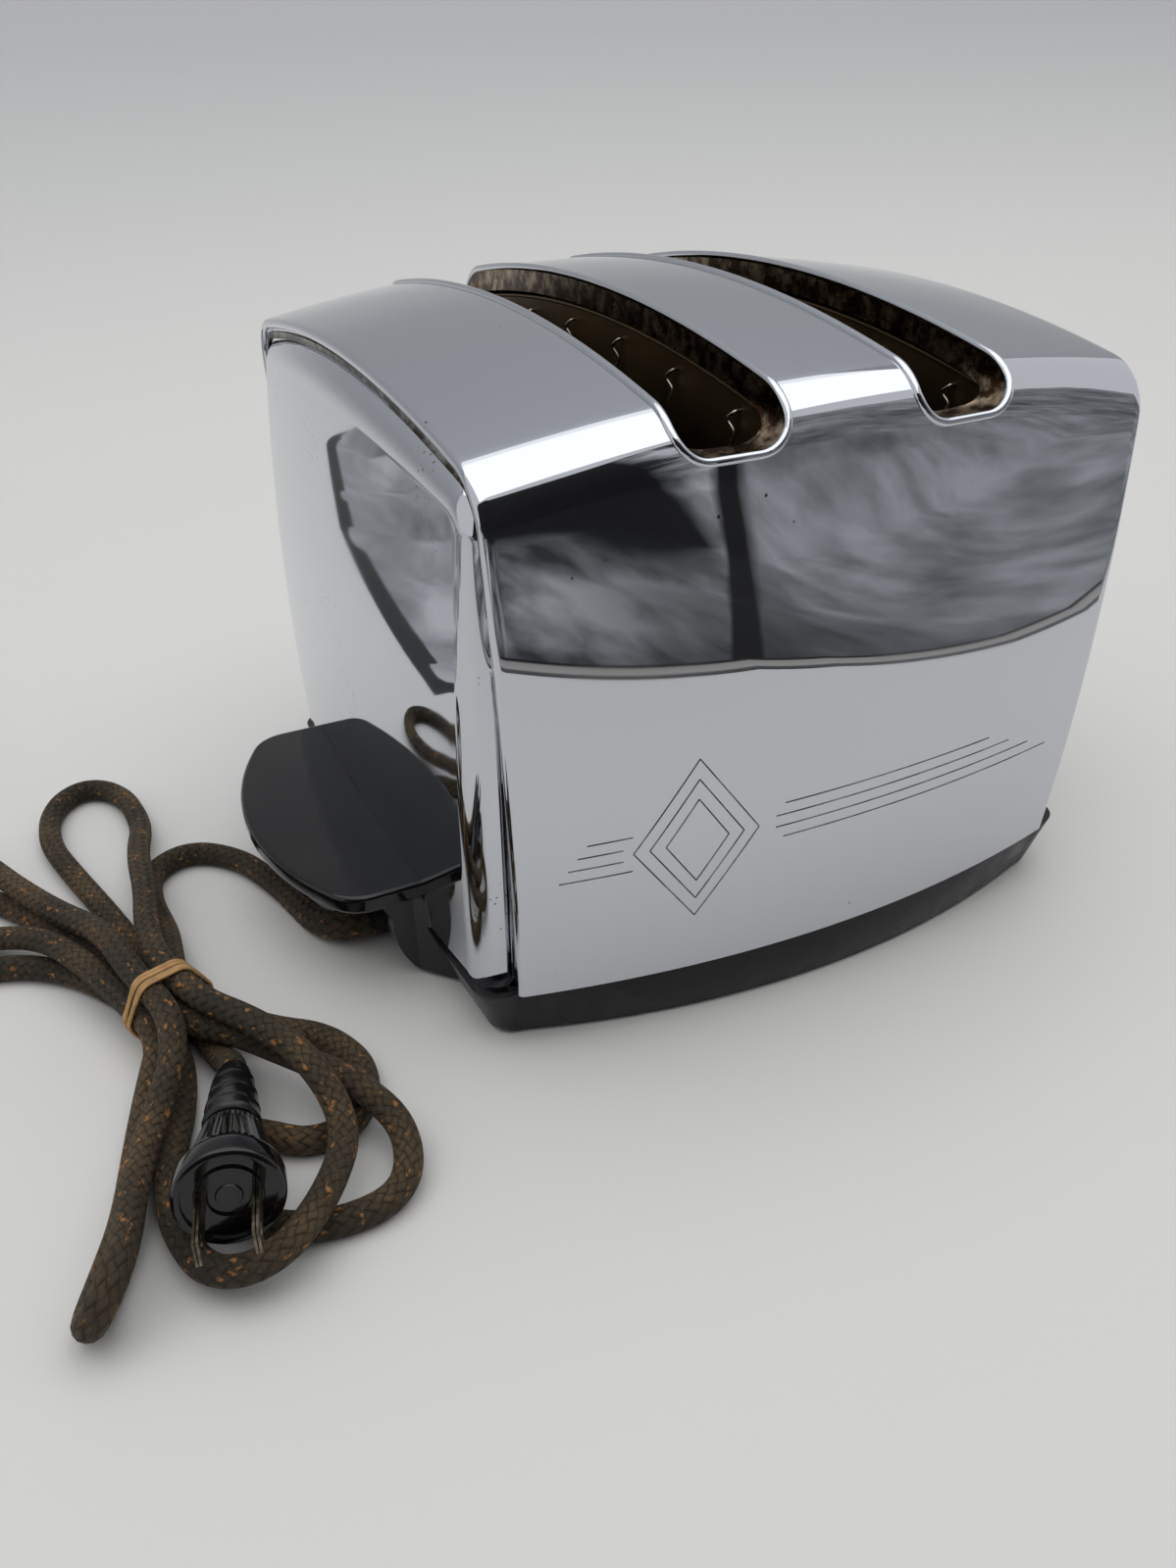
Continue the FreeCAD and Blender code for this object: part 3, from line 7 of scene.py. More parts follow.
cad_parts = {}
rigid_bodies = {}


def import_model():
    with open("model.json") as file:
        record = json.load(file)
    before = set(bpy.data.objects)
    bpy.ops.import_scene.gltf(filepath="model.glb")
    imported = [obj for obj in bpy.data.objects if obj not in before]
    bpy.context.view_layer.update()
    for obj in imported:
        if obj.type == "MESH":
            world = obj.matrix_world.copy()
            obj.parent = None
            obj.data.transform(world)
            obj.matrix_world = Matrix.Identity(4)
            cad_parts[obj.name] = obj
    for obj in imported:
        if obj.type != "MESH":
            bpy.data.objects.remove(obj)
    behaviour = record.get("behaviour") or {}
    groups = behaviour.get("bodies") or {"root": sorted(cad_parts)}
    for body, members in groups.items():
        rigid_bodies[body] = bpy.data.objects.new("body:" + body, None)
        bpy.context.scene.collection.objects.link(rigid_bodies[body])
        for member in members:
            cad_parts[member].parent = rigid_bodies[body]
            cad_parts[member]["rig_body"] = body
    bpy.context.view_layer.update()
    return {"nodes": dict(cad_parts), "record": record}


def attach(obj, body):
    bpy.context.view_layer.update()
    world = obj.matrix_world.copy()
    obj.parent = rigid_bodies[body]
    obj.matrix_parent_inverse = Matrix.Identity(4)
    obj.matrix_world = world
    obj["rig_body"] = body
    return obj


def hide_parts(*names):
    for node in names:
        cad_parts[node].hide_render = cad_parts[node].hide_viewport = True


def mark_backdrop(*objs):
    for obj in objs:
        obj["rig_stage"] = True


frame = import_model()
nodes = frame["nodes"]
mm = 0.001

print("stage: camera")

# the view: a phone lens close to the toaster, seen from its cord end and a little above
view = {"place": (-0.18686, -0.35251, 0.24858), "turn": -0.43, "tilt": 0.54, "roll": -0.03,
        "focal": 1300.0, "tall": 1599.0}


def makeCamera():
    back = Vector((math.sin(view["turn"]) * math.cos(view["tilt"]),
                   -math.cos(view["turn"]) * math.cos(view["tilt"]), math.sin(view["tilt"])))
    right = Vector((0, 0, 1)).cross(back).normalized()
    up = back.cross(right)
    c, s = math.cos(view["roll"]), math.sin(view["roll"])
    right, up = right * c + up * s, up * c - right * s
    camera = bpy.data.objects.new("camera", bpy.data.cameras.new("camera"))
    bpy.context.scene.collection.objects.link(camera)
    turn = Matrix((right, up, back)).transposed().to_4x4()
    camera.matrix_world = Matrix.Translation(Vector(view["place"])) @ turn
    camera.data.sensor_width = 36
    camera.data.lens = view["focal"] / view["tall"] * 36
    camera.data.clip_start, camera.data.clip_end = 0.01, 20
    bpy.context.scene.camera = camera


makeCamera()

print("stage: materials")


def colour(code):
    parts = [int(code[i:i + 2], 16) / 255 for i in (1, 3, 5)]
    return [p / 12.92 if p <= 0.04045 else ((p + 0.055) / 1.055) ** 2.4 for p in parts] + [1.0]


def feed(tree, socket, source):
    # a socket takes a value, a hex colour, a node's first output or another socket
    if isinstance(source, bpy.types.Node):
        source = next(s for s in source.outputs if s.enabled)
    if isinstance(source, bpy.types.NodeSocket):
        tree.links.new(source, socket)
    else:
        socket.default_value = colour(source) if isinstance(source, str) else source


def addNode(tree, kind, inputs=None, stops=None, **settings):
    # one node with its settings, its fed sockets by name or number, and a colour ramp's stops
    node = tree.nodes.new("ShaderNode" + kind)
    for key, setting in settings.items():
        setattr(node, key, setting)
    for key, source in (inputs or {}).items():
        feed(tree, node.inputs[key], source)
    if stops:
        elements = node.color_ramp.elements
        while len(elements) < len(stops):
            elements.new(0.5)
        for element, (spot, shade) in zip(elements, stops):
            element.position = spot
            element.color = colour(shade) if isinstance(shade, str) else (shade, shade, shade, 1)
    return node


def newMaterial(name, **sockets):
    # material with its shader's constants set, and the object's own coordinates in metres
    material = bpy.data.materials.new(name)
    material.use_nodes = True
    tree = material.node_tree
    shader = tree.nodes["Principled BSDF"]
    paint(tree, shader, **sockets)
    return material, tree, shader, addNode(tree, "TexCoord").outputs["Object"]


def paint(tree, shader, **sources):
    for key, source in sources.items():
        feed(tree, shader.inputs[key.replace("_", " ")], source)


def chromePlate(name, pit, cell, dot, few, smooth, hazy):
    # chromium over nickel on drawn steel, buffed to a mirror: crisp reflections, a cool cast,
    # a faint haze from wiping and dark pits where the plate has let go
    material, tree, shader, where = newMaterial(name, Metallic=1.0)
    haze = addNode(tree, "TexNoise", {"Vector": where, "Scale": 20.0, "Detail": 3.0})
    rough = addNode(tree, "MapRange", {"Value": haze, "From Min": 0.35, "From Max": 0.7,
                                       "To Min": smooth, "To Max": hazy})
    cells = addNode(tree, "TexVoronoi", {"Vector": where, "Scale": 1 / cell})
    dots = addNode(tree, "ValToRGB", {"Fac": cells}, stops=[(0.0, 1.0), (dot * 0.6, 1.0), (dot, 0.0)])
    patches = addNode(tree, "TexNoise", {"Vector": where, "Scale": 33.0, "Detail": 1.0})
    sparse = addNode(tree, "ValToRGB", {"Fac": patches}, stops=[(few, 0.0), (few + 0.08, 1.0)])
    spot = addNode(tree, "Math", {0: dots, 1: sparse}, operation="MULTIPLY")
    shade = addNode(tree, "Mix", {0: spot, 6: "#cdd0d6", 7: pit}, data_type="RGBA")
    paint(tree, shader, Base_Color=shade, Roughness=rough)
    return material


def moulded(name, base, worn, rough, grain, shine=0.5):
    # moulded phenolic plastic: dense black, softly polished, with faint rub marks and dust
    material, tree, shader, where = newMaterial(name, Specular_IOR_Level=shine)
    cloud = addNode(tree, "TexNoise", {"Vector": where, "Scale": 55.0, "Detail": 4.0})
    rubbed = addNode(tree, "ValToRGB", {"Fac": cloud}, stops=[(0.45, 0.0), (0.75, 1.0)])
    shade = addNode(tree, "Mix", {0: rubbed, 6: base, 7: worn}, data_type="RGBA")
    fine = addNode(tree, "TexNoise", {"Vector": where, "Scale": 110.0, "Detail": 5.0})
    spread = addNode(tree, "MapRange", {"Value": fine, "From Min": 0.3, "From Max": 0.7,
                                        "To Min": rough * 0.75, "To Max": rough * 1.4})
    skin = addNode(tree, "TexNoise", {"Vector": where, "Scale": 1 / grain, "Detail": 3.0})
    relief = addNode(tree, "Bump", {"Height": skin, "Distance": 0.00004})
    paint(tree, shader, Base_Color=shade, Roughness=spread, Normal=relief)
    return material


def metal(name, base, dark, rough, scale=0.02, marks=0.5):
    # bare or heat-marked sheet and wire: dull reflections with darker blotches
    material, tree, shader, where = newMaterial(name, Metallic=1.0)
    cloud = addNode(tree, "TexNoise", {"Vector": where, "Scale": 1 / scale, "Detail": 5.0, "Roughness": 0.6})
    stain = addNode(tree, "ValToRGB", {"Fac": cloud}, stops=[(marks - 0.1, 0.0), (marks + 0.1, 1.0)])
    shade = addNode(tree, "Mix", {0: stain, 6: base, 7: dark}, data_type="RGBA")
    fine = addNode(tree, "TexNoise", {"Vector": where, "Scale": 6 / scale, "Detail": 4.0})
    spread = addNode(tree, "MapRange", {"Value": fine, "From Min": 0.3, "From Max": 0.7,
                                        "To Min": rough * 0.8, "To Max": rough * 1.3})
    paint(tree, shader, Base_Color=shade, Roughness=spread)
    return material


def dull(name, base, dark, rough, scale=0.006, relief=0.00015):
    # matt pieces such as ceramic, mica and rubber: cloudy colour and a slightly uneven skin
    material, tree, shader, where = newMaterial(name, Roughness=rough)
    cloud = addNode(tree, "TexNoise", {"Vector": where, "Scale": 1 / scale, "Detail": 4.0})
    share = addNode(tree, "ValToRGB", {"Fac": cloud}, stops=[(0.35, 0.0), (0.7, 1.0)])
    shade = addNode(tree, "Mix", {0: share, 6: base, 7: dark}, data_type="RGBA")
    skin = addNode(tree, "Bump", {"Height": cloud, "Distance": relief})
    paint(tree, shader, Base_Color=shade, Normal=skin)
    return material


def heatBrownedShaded(name, pale, dark):
    # sheet steel browned by years of heat: straw and brown near the slot's mouth, with painted shade darkening it
    # lower down in the slot
    material, tree, shader, where = newMaterial(name, Metallic=0.8, Roughness=0.42)
    depth = addNode(tree, "SeparateXYZ", {"Vector": where}).outputs["Z"]
    cloud = addNode(tree, "TexNoise", {"Vector": where, "Scale": 60.0, "Detail": 4.0})
    uneven = addNode(tree, "Math", {0: cloud, 1: 0.02, 2: depth}, operation="MULTIPLY_ADD")
    # painted shade: below about 0.16 to 0.19 m the sheet is painted near-black, deeper in the slot
    deepShade = addNode(tree, "MapRange", {"Value": uneven, "From Min": 0.155, "From Max": 0.186})
    paint(tree, shader, Base_Color=addNode(tree, "Mix", {0: deepShade, 6: dark, 7: pale}, data_type="RGBA"))
    return material


def clothCover():
    # woven cotton cover of an old lead: flat strands crossing at a slant, olive brown, with
    # rusty flecks of a tracer thread, soiling, a little fuzz and painted shade in the gaps between strands
    material, tree, shader, where = newMaterial("woven cotton braid", Roughness=0.88, Sheen_Weight=0.2,
                                                Sheen_Roughness=0.5, Sheen_Tint="#8a7a60")
    uv = addNode(tree, "UVMap", uv_map="UVMap").outputs["UV"]
    parts = addNode(tree, "SeparateXYZ", {"Vector": uv})
    around = addNode(tree, "Math", {0: parts.outputs["X"], 1: braid["strands"]}, operation="MULTIPLY")
    crests, cells = [], []
    for sign in (1, -1):
        forward = addNode(tree, "Math", {0: parts.outputs["Y"], 1: sign / braid["pitch"]}, operation="MULTIPLY")
        phase = addNode(tree, "Math", {0: around, 1: forward}, operation="ADD")
        cells.append(addNode(tree, "Math", {0: phase}, operation="FLOOR"))
        across = addNode(tree, "Math", {0: phase}, operation="FRACT")
        turned = addNode(tree, "Math", {0: across, 1: math.pi}, operation="MULTIPLY")
        crests.append(addNode(tree, "Math", {0: turned}, operation="SINE"))
    # where the cells' sum is odd the strand of one way lies on top, elsewhere the other
    total = addNode(tree, "Math", {0: cells[0], 1: cells[1]}, operation="ADD")
    halved = addNode(tree, "Math", {0: total, 1: 0.5}, operation="MULTIPLY")
    rest = addNode(tree, "Math", {0: halved}, operation="FRACT")
    odd = addNode(tree, "Math", {0: rest, 1: 0.25}, operation="GREATER_THAN")
    weave = addNode(tree, "Mix", {0: odd, 2: crests[0], 3: crests[1]})
    ridge = addNode(tree, "Math", {0: weave, 1: 0.55}, operation="POWER")
    cloud = addNode(tree, "TexNoise", {"Vector": where, "Scale": 45.0, "Detail": 4.0})
    soil = addNode(tree, "ValToRGB", {"Fac": cloud}, stops=[(0.36, braid["pale"]), (0.5, braid["middle"]),
                                                          (0.66, braid["soiled"])])
    # painted shade: the troughs between the raised strands take a near-black colour
    strand = addNode(tree, "Mix", {0: ridge, 6: braid["gap"], 7: soil}, data_type="RGBA")
    spots = addNode(tree, "Mapping", {"Vector": uv, "Scale": (9.0, 230.0, 1.0), "Rotation": (0.0, 0.0, 0.02)})
    cells = addNode(tree, "TexNoise", {"Vector": spots, "Scale": 1.0, "Detail": 2.0, "Roughness": 0.6})
    fleck = addNode(tree, "ValToRGB", {"Fac": cells}, stops=[(0.62, 0.0), (0.67, 1.0)])
    worn = addNode(tree, "Math", {0: fleck, 1: ridge}, operation="MULTIPLY")
    rust = addNode(tree, "Mix", {0: worn, 6: strand, 7: braid["fleck"]}, data_type="RGBA")
    hairs = addNode(tree, "TexNoise", {"Vector": where, "Scale": 900.0, "Detail": 3.0})
    fuzz = addNode(tree, "ValToRGB", {"Fac": hairs}, stops=[(0.62, 0.0), (0.74, 0.5)])
    shade = addNode(tree, "Mix", {0: fuzz, 6: rust, 7: braid["fuzz"]}, data_type="RGBA")
    relief = addNode(tree, "Bump", {"Height": ridge, "Distance": 0.0006})
    paint(tree, shader, Base_Color=shade, Normal=relief)
    return material


# the lead's cover: strands each way round it, metres along for one crossing, and its colours; the gap colour is
# painted shade between the strands
braid = {"strands": 8.0, "pitch": 0.0038, "pale": "#57462f", "middle": "#3f3424", "soiled": "#2b251a",
         "gap": "#17120b", "fleck": "#9c6a36", "fuzz": "#6a583e"}

finishes = {
    "chrome": chromePlate("polished chrome plate", "#55504a", 0.011, 0.05, 0.57, 0.015, 0.045),
    "chrome_panel": chromePlate("pitted chrome plate", "#6f6d68", 0.0021, 0.2, 0.55, 0.02, 0.055),
    "seam_grime": metal("grimy chrome in the seam", "#8f8f8c", "#3a2f22", 0.3, 0.006, 0.46),
    "engraved": metal("engraved line", "#4a4a4d", "#93949a", 0.45, 0.012, 0.56),
    "black_phenolic": moulded("polished black phenolic", "#0a0a0b", "#161615", 0.09, 0.006),
    "black_base": moulded("satin black phenolic", "#0a0a0b", "#161514", 0.28, 0.002, 0.3),
    "plated_steel": metal("nickel-plated steel", "#9b968c", "#5d5044", 0.32),
    "heat_brown": metal("heat-tinted steel", "#6f5f4a", "#2c2017", 0.36, 0.03, 0.48),
    "mica": dull("mica sheet", "#b5a68a", "#8a7656", 0.35),
    "element": metal("oxidised heating ribbon", "#6a6560", "#3d3733", 0.45),
    "ceramic_block": dull("glazed ceramic", "#ddd8cb", "#c2bba9", 0.3),
    "screw_steel": metal("zinc-plated steel", "#a9a8a4", "#6c665e", 0.35, 0.006),
    "black_rubber": dull("black rubber", "#161616", "#232221", 0.75, 0.002),
    "tan_rubber": dull("tan rubber", "#c39a66", "#a87f4f", 0.6, 0.003, 0.0001),
    "brass": metal("tarnished nickelled brass", "#8f8774", "#4a4236", 0.36, 0.004, 0.45),
    "spring_steel": metal("spring steel", "#8d8b86", "#55504a", 0.33),
    "stained_rim": metal("burnt chrome edge", "#a8977f", "#3b2615", 0.3, 0.005, 0.46),
    "grease": dull("dried brown grease", "#927c54", "#54432b", 0.6, 0.003, 0.00005),
    "guard": heatBrownedShaded("heat-browned guard sheet with painted shade low down", "#7a6545", "#17110b"),
    "wire": metal("bright guide wire", "#cfcac0", "#8b7f6c", 0.25, 0.01, 0.55),
    "tape": dull("black vinyl tape", "#0f0f10", "#1c1c1c", 0.22, 0.006, 0.0004),
    "cord_braid": clothCover(),
}


def linked(name, mesh, slot, body="housing", smooth=True):
    thing = bpy.data.objects.new(name, mesh)
    bpy.context.scene.collection.objects.link(thing)
    if smooth is not None:
        mesh.polygons.foreach_set("use_smooth", [bool(smooth)] * len(mesh.polygons))
    if slot:
        mesh.materials.clear()
        mesh.materials.append(finishes[slot])
    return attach(thing, body)


def sheetFrom(name, across, along, place, slot, body="housing", joined=True):
    # a grid of cells whose corners are moved to place(u, v), both from 0 to 1
    form = bmesh.new()
    form.loops.layers.uv.new("UVMap")
    bmesh.ops.create_grid(form, x_segments=across, y_segments=along, size=0.5, calc_uvs=True)
    layer = form.loops.layers.uv["UVMap"]
    spots = {v: (v.co.x + 0.5, v.co.y + 0.5) for v in form.verts}
    for face in form.faces:
        for loop in face.loops:
            loop[layer].uv = spots[loop.vert]
    for v, (a, b) in spots.items():
        v.co = place(a, b)
    if joined:
        bmesh.ops.remove_doubles(form, verts=form.verts, dist=1e-6)
    bmesh.ops.recalc_face_normals(form, faces=form.faces)
    mesh = bpy.data.meshes.new(name)
    form.to_mesh(mesh)
    form.free()
    return linked(name, mesh, slot, body)


def splinePoints(name, points, resolution=12):
    # evenly read points of a smooth line through its control points
    line = bpy.data.curves.new(name, "CURVE")
    line.dimensions = "3D"
    line.resolution_u = resolution
    spline = line.splines.new("NURBS")
    spline.points.add(len(points) - 1)
    for knot, p in zip(spline.points, points):
        knot.co = (p[0] * mm, p[1] * mm, p[2] * mm, 1)
    spline.order_u = 3
    spline.use_endpoint_u = True
    holder = bpy.data.objects.new(name, line)
    bpy.context.scene.collection.objects.link(holder)
    bpy.context.view_layer.update()
    mesh = bpy.data.meshes.new_from_object(holder)
    found = [mesh.vertices[0].co.copy()]
    for v in mesh.vertices:
        if (v.co - found[-1]).length > 0.02 * mm:
            found.append(v.co.copy())
    bpy.data.objects.remove(holder)
    bpy.data.curves.remove(line)
    bpy.data.meshes.remove(mesh)
    return found


def framesAlong(points):
    # each point with its direction, a side vector carried along without twist, and the way from the start
    frames, side, way = [], None, 0.0
    for i, here in enumerate(points):
        ahead = points[min(i + 1, len(points) - 1)] - points[max(i - 1, 0)]
        ahead.normalize()
        if side is None:
            side = Vector((0, 0, 1)).cross(ahead).normalized()
        side = (side - ahead * side.dot(ahead)).normalized()
        if i:
            way += (here - points[i - 1]).length
        frames.append((here, ahead, side, way))
    return frames


def tube(name, points, radiusAt, sides, slot, body="housing"):
    # round tube along points; its map runs once round and in metres along
    frames = framesAlong(points)
    last = len(frames) - 1

    def place(u, v):
        here, ahead, side, way = frames[min(last, round(v * last))]
        turn = 2 * math.pi * u
        r = radiusAt(way)
        return here + side * (r * math.cos(turn)) + ahead.cross(side) * (r * math.sin(turn))

    thing = sheetFrom(name, sides, last, place, slot, body, joined=False)
    layer = thing.data.uv_layers["UVMap"]
    for loop in layer.data:
        loop.uv.y = frames[min(last, round(loop.uv.y * last))][3]
    form = bmesh.new()
    form.from_mesh(thing.data)
    bmesh.ops.remove_doubles(form, verts=form.verts, dist=1e-6)
    bmesh.ops.holes_fill(form, edges=[e for e in form.edges if e.is_boundary], sides=sides + 2)
    bmesh.ops.recalc_face_normals(form, faces=form.faces)
    form.to_mesh(thing.data)
    form.free()
    for face in thing.data.polygons:
        face.use_smooth = True
    return thing


def gridPiece(name, rings, slot, body="housing"):
    # surface through rows of points
    across, along = len(rings) - 1, len(rings[0]) - 1
    return sheetFrom(name, across, along,
                     lambda u, v: rings[round(u * across)][round(v * along)], slot, body)


def applied(thing):
    # the mesh with its modifiers worked in
    graph = bpy.context.evaluated_depsgraph_get()
    mesh = bpy.data.meshes.new_from_object(thing.evaluated_get(graph))
    old = thing.data
    thing.modifiers.clear()
    thing.data = mesh
    mesh.name = thing.name
    bpy.data.meshes.remove(old)
    return thing


def thickened(thing, wall):
    # wall behind the drawn face: the face itself stays where it is
    skin = thing.modifiers.new("wall", "SOLIDIFY")
    skin.thickness, skin.offset, skin.use_even_offset = wall, -1.0, False
    return thing


def sharpened(thing, degrees=35):
    # smooth shading that breaks only at real edges
    form = bmesh.new()
    form.from_mesh(thing.data)
    limit = math.radians(degrees)
    for edge in form.edges:
        edge.smooth = len(edge.link_faces) == 2 and edge.calc_face_angle(0) < limit
    for face in form.faces:
        face.smooth = True
    form.to_mesh(thing.data)
    form.free()
    return thing


def block(name, low, high):
    # plain cutter between two corners, in metres
    form = bmesh.new()
    bmesh.ops.create_cube(form, size=1)
    for v in form.verts:
        v.co = Vector([a + (b - a) * (c + 0.5) for a, b, c in zip(low, high, v.co)])
    return form


def carved(thing, forms):
    # cuts closed forms out of a piece
    for form in forms:
        mesh = bpy.data.meshes.new("cutter")
        bmesh.ops.recalc_face_normals(form, faces=form.faces)
        form.to_mesh(mesh)
        form.free()
        tool = bpy.data.objects.new("cutter", mesh)
        bpy.context.scene.collection.objects.link(tool)
        cutting = thing.modifiers.new("cut", "BOOLEAN")
        cutting.operation, cutting.object, cutting.solver = "DIFFERENCE", tool, "EXACT"
        bpy.context.view_layer.update()
        applied(thing)
        bpy.data.objects.remove(tool)
    return thing


def closedTube(name, points, radius, sides, slot, body="housing", flat=1.0):
    # round ring through closed points
    count = len(points)
    ups = []
    for i in range(count):
        ahead = (points[(i + 1) % count] - points[i - 1]).normalized()
        side = ahead.cross(Vector((0, 0, 1)) if abs(ahead.z) < 0.95 else Vector((1, 0, 0))).normalized()
        if ups and side.dot(ups[-1][1]) < 0:
            side = -side
        ups.append((ahead, side))

    def place(u, v):
        k = round(v * count) % count
        ahead, side = ups[k]
        turn = 2 * math.pi * u
        return points[k] + side * (radius * math.cos(turn)) + ahead.cross(side) * (radius * flat * math.sin(turn))

    return sheetFrom(name, sides, count, place, slot, body)


def spun(name, profile, base, axis, slot, steps=64, body="housing"):
    # turned piece: points (along, out) in millimetres, spun round an axis from a base point
    form = bmesh.new()
    side = Vector((0, 0, 1)).cross(axis).normalized()
    line = [form.verts.new(base + axis * (a * mm) + side * (r * mm)) for a, r in profile]
    edges = [form.edges.new(pair) for pair in zip(line, line[1:])]
    bmesh.ops.spin(form, geom=line + edges, cent=base, axis=axis, angle=2 * math.pi, steps=steps,
                   use_merge=True)
    bmesh.ops.remove_doubles(form, verts=form.verts, dist=1e-6)
    bmesh.ops.recalc_face_normals(form, faces=form.faces)
    mesh = bpy.data.meshes.new(name)
    form.to_mesh(mesh)
    form.free()
    return linked(name, mesh, slot, body)


print("stage: lead and plug")

leadFacts = {"thick": 7.5 * mm, "sides": 14, "sleeve": 38 * mm, "sleeveWide": 9.6 * mm}
# control points of the lead's line in millimetres, the same as in the part's source
leadRoute = [
    (-115, -30, 8), (-124, -30, 8), (-130, -20, 4.8), (-133, -6, 3.8), (-137, 10, 3.8), (-144, 30, 3.8),
    (-158, 43, 3.8), (-173, 37, 3.8), (-176, 18, 3.8), (-174, -4, 5.5), (-175, -20, 10),
    (-176, -33.2, 11.8), (-168.8, -56.1, 11.8), (-156, -63, 5.5), (-141, -72, 3.8), (-135, -90, 3.8),
    (-142, -107, 3.8), (-156, -110, 3.8), (-167, -100, 3.8), (-174.5, -95, 3.8), (-181.5, -99, 3.8),
    (-181.5, -113, 3.8), (-174, -130, 3.8), (-158, -138, 3.8), (-139, -136, 3.8), (-133, -119, 8),
    (-142, -101, 12.6), (-153, -84, 11), (-166, -68, 12.6), (-176.4, -58.5, 11.8),
    (-183.6, -35.6, 11.8), (-191, -14, 9), (-203, 10, 4.5), (-213, 29, 3.8), (-226, 48, 3.8),
    (-240, 60, 3.8), (-254, 52, 3.8), (-252, 34, 3.8), (-236, 24, 3.8), (-221, 17, 6), (-210, 3, 11.4),
    (-201, -13, 12.4), (-191.2, -38, 11.8), (-184, -60.9, 11.8), (-190.5, -75, 7.8), (-197, -92, 3.8),
    (-203, -114, 3.8), (-210, -129, 3.8), (-215, -140.3, 4.5), (-213, -146, 11.2),
    (-207, -141.8, 17.2), (-202.5, -130, 16.5), (-200, -117, 14), (-196, -103, 12.3),
    (-190, -90, 12.4), (-182.5, -76, 16), (-180.2, -59.7, 18.8), (-187.4, -36.8, 18.8),
    (-191.5, -14, 18.8), (-203, 10, 14), (-214, 34, 11.8), (-226, 62, 11.8), (-240, 84, 9),
    (-260, 80, 4), (-272, 60, 3.8), (-272, 32, 3.8), (-256, 12, 3.8), (-236, 7, 3.8), (-218, 3, 3.8),
    (-204, -8, 3.8), (-194, -23, 3.8), (-187.4, -36.8, 4.8), (-180.2, -59.7, 4.8), (-183, -81, 3.8),
    (-190.5, -101, 4.5), (-193, -122, 6), (-188, -142, 7), (-173, -148, 11.4), (-157, -134, 11.8),
    (-147, -116, 12), (-151, -95, 19.6), (-161, -75, 20.4), (-172.6, -57.3, 18.8),
    (-179.8, -34.4, 18.8), (-180, -14, 17.5), (-177, 9, 15), (-176, 37, 11.8), (-171, 66, 4.5),
    (-174, 94, 3.8), (-186, 106, 3.8), (-199, 96, 3.8), (-203, 72, 3.8), (-197, 46, 3.8),
    (-190, 20, 3.8), (-183, -10, 3.8), (-179.8, -34.4, 4.8), (-172.6, -57.3, 4.8), (-170.2, -69, 4.4),
    (-168.4, -79, 10.5), (-170, -87, 12.1),
]


leadLine = splinePoints("leadLine", leadRoute)
leadLength = sum((b - a).length for a, b in zip(leadLine, leadLine[1:]))
print("lead length %.3f m from %d points" % (leadLength, len(leadLine)))
lead = tube("clothLead", leadLine, lambda way: leadFacts["thick"] / 2, leadFacts["sides"], "cord_braid")
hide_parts("power_cord")


def leadUpTo(reach):
    found, way = [leadLine[0]], 0.0
    for a, b in zip(leadLine, leadLine[1:]):
        way += (b - a).length
        found.append(b)
        if way > reach:
            break
    return found


def wrappedSleeve():
    wide, narrow, reach = leadFacts["sleeveWide"] / 2, leadFacts["thick"] / 2 + 0.0001, leadFacts["sleeve"]
    points = leadUpTo(reach)

    def radius(way):
        taper = max(0.0, 1 - way / reach)
        winding = 0.00012 * math.sin(2 * math.pi * way / 0.0016)
        return narrow + (wide - narrow) * taper ** 0.8 + winding * min(1.0, 4 * taper)

    return tube("wrappedSleeve", points, radius, 24, "cord_braid")


sleeve = wrappedSleeve()

tip = Vector(leadRoute[-1]) * mm
plugAxis = (Vector(leadRoute[-1]) - Vector(leadRoute[-2])).normalized()
plugStart = tip + plugAxis * 20 * mm
# moulded plug: a neck, a belt of fine grip flutes, a wide disc and a recessed face
plugShape = {"long": 30.0, "neck": 6.4, "face": 12.8, "flutes": 40, "fluteDeep": 0.8}


def plugBody():
    shape = plugShape
    cone = lambda a: shape["neck"] + (shape["face"] - shape["neck"]) * a / shape["long"]
    profile = [(0.0, 0.0), (0.0, 5.4), (0.5, 6.0), (3.6, cone(3.6)), (4.0, cone(4) - 0.8), (5.0, cone(5) - 0.8),
               (5.4, cone(5.4))]
    profile += [(5.4 + i * 1.5, cone(5.4 + i * 1.5)) for i in range(1, 11)]
    profile += [(21.2, cone(20.8) - 0.7), (22.4, cone(20.8) - 0.6), (23.0, 12.2), (23.6, 12.8), (24.6, 12.95),
                (28.8, 12.95), (29.6, 12.7), (30.0, 12.2), (30.0, 10.9), (28.9, 10.7), (28.8, 8.0),
                (29.6, 7.7), (29.6, 5.0), (28.8, 4.7), (28.8, 3.2), (29.2, 2.9), (29.2, 0.0)]
    thing = spun("mouldedPlug", profile, plugStart, plugAxis, "black_phenolic", steps=176)
    side = Vector((0, 0, 1)).cross(plugAxis).normalized()
    up = plugAxis.cross(side)
    for v in thing.data.vertices:
        away = v.co - plugStart
        a = away.dot(plugAxis) / mm
        if 5.6 < a < 20.6:
            out = away - plugAxis * (a * mm)
            turn = math.atan2(out.dot(up), out.dot(side))
            ease = min(1.0, (a - 5.6) / 1.2, (20.6 - a) / 1.2)
            dip = shape["fluteDeep"] * mm * ease * (0.5 + 0.5 * math.cos(turn * shape["flutes"]))
            v.co = v.co - out.normalized() * dip
    sharpened(thing, 50)
    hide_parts("plug_body")
    return thing


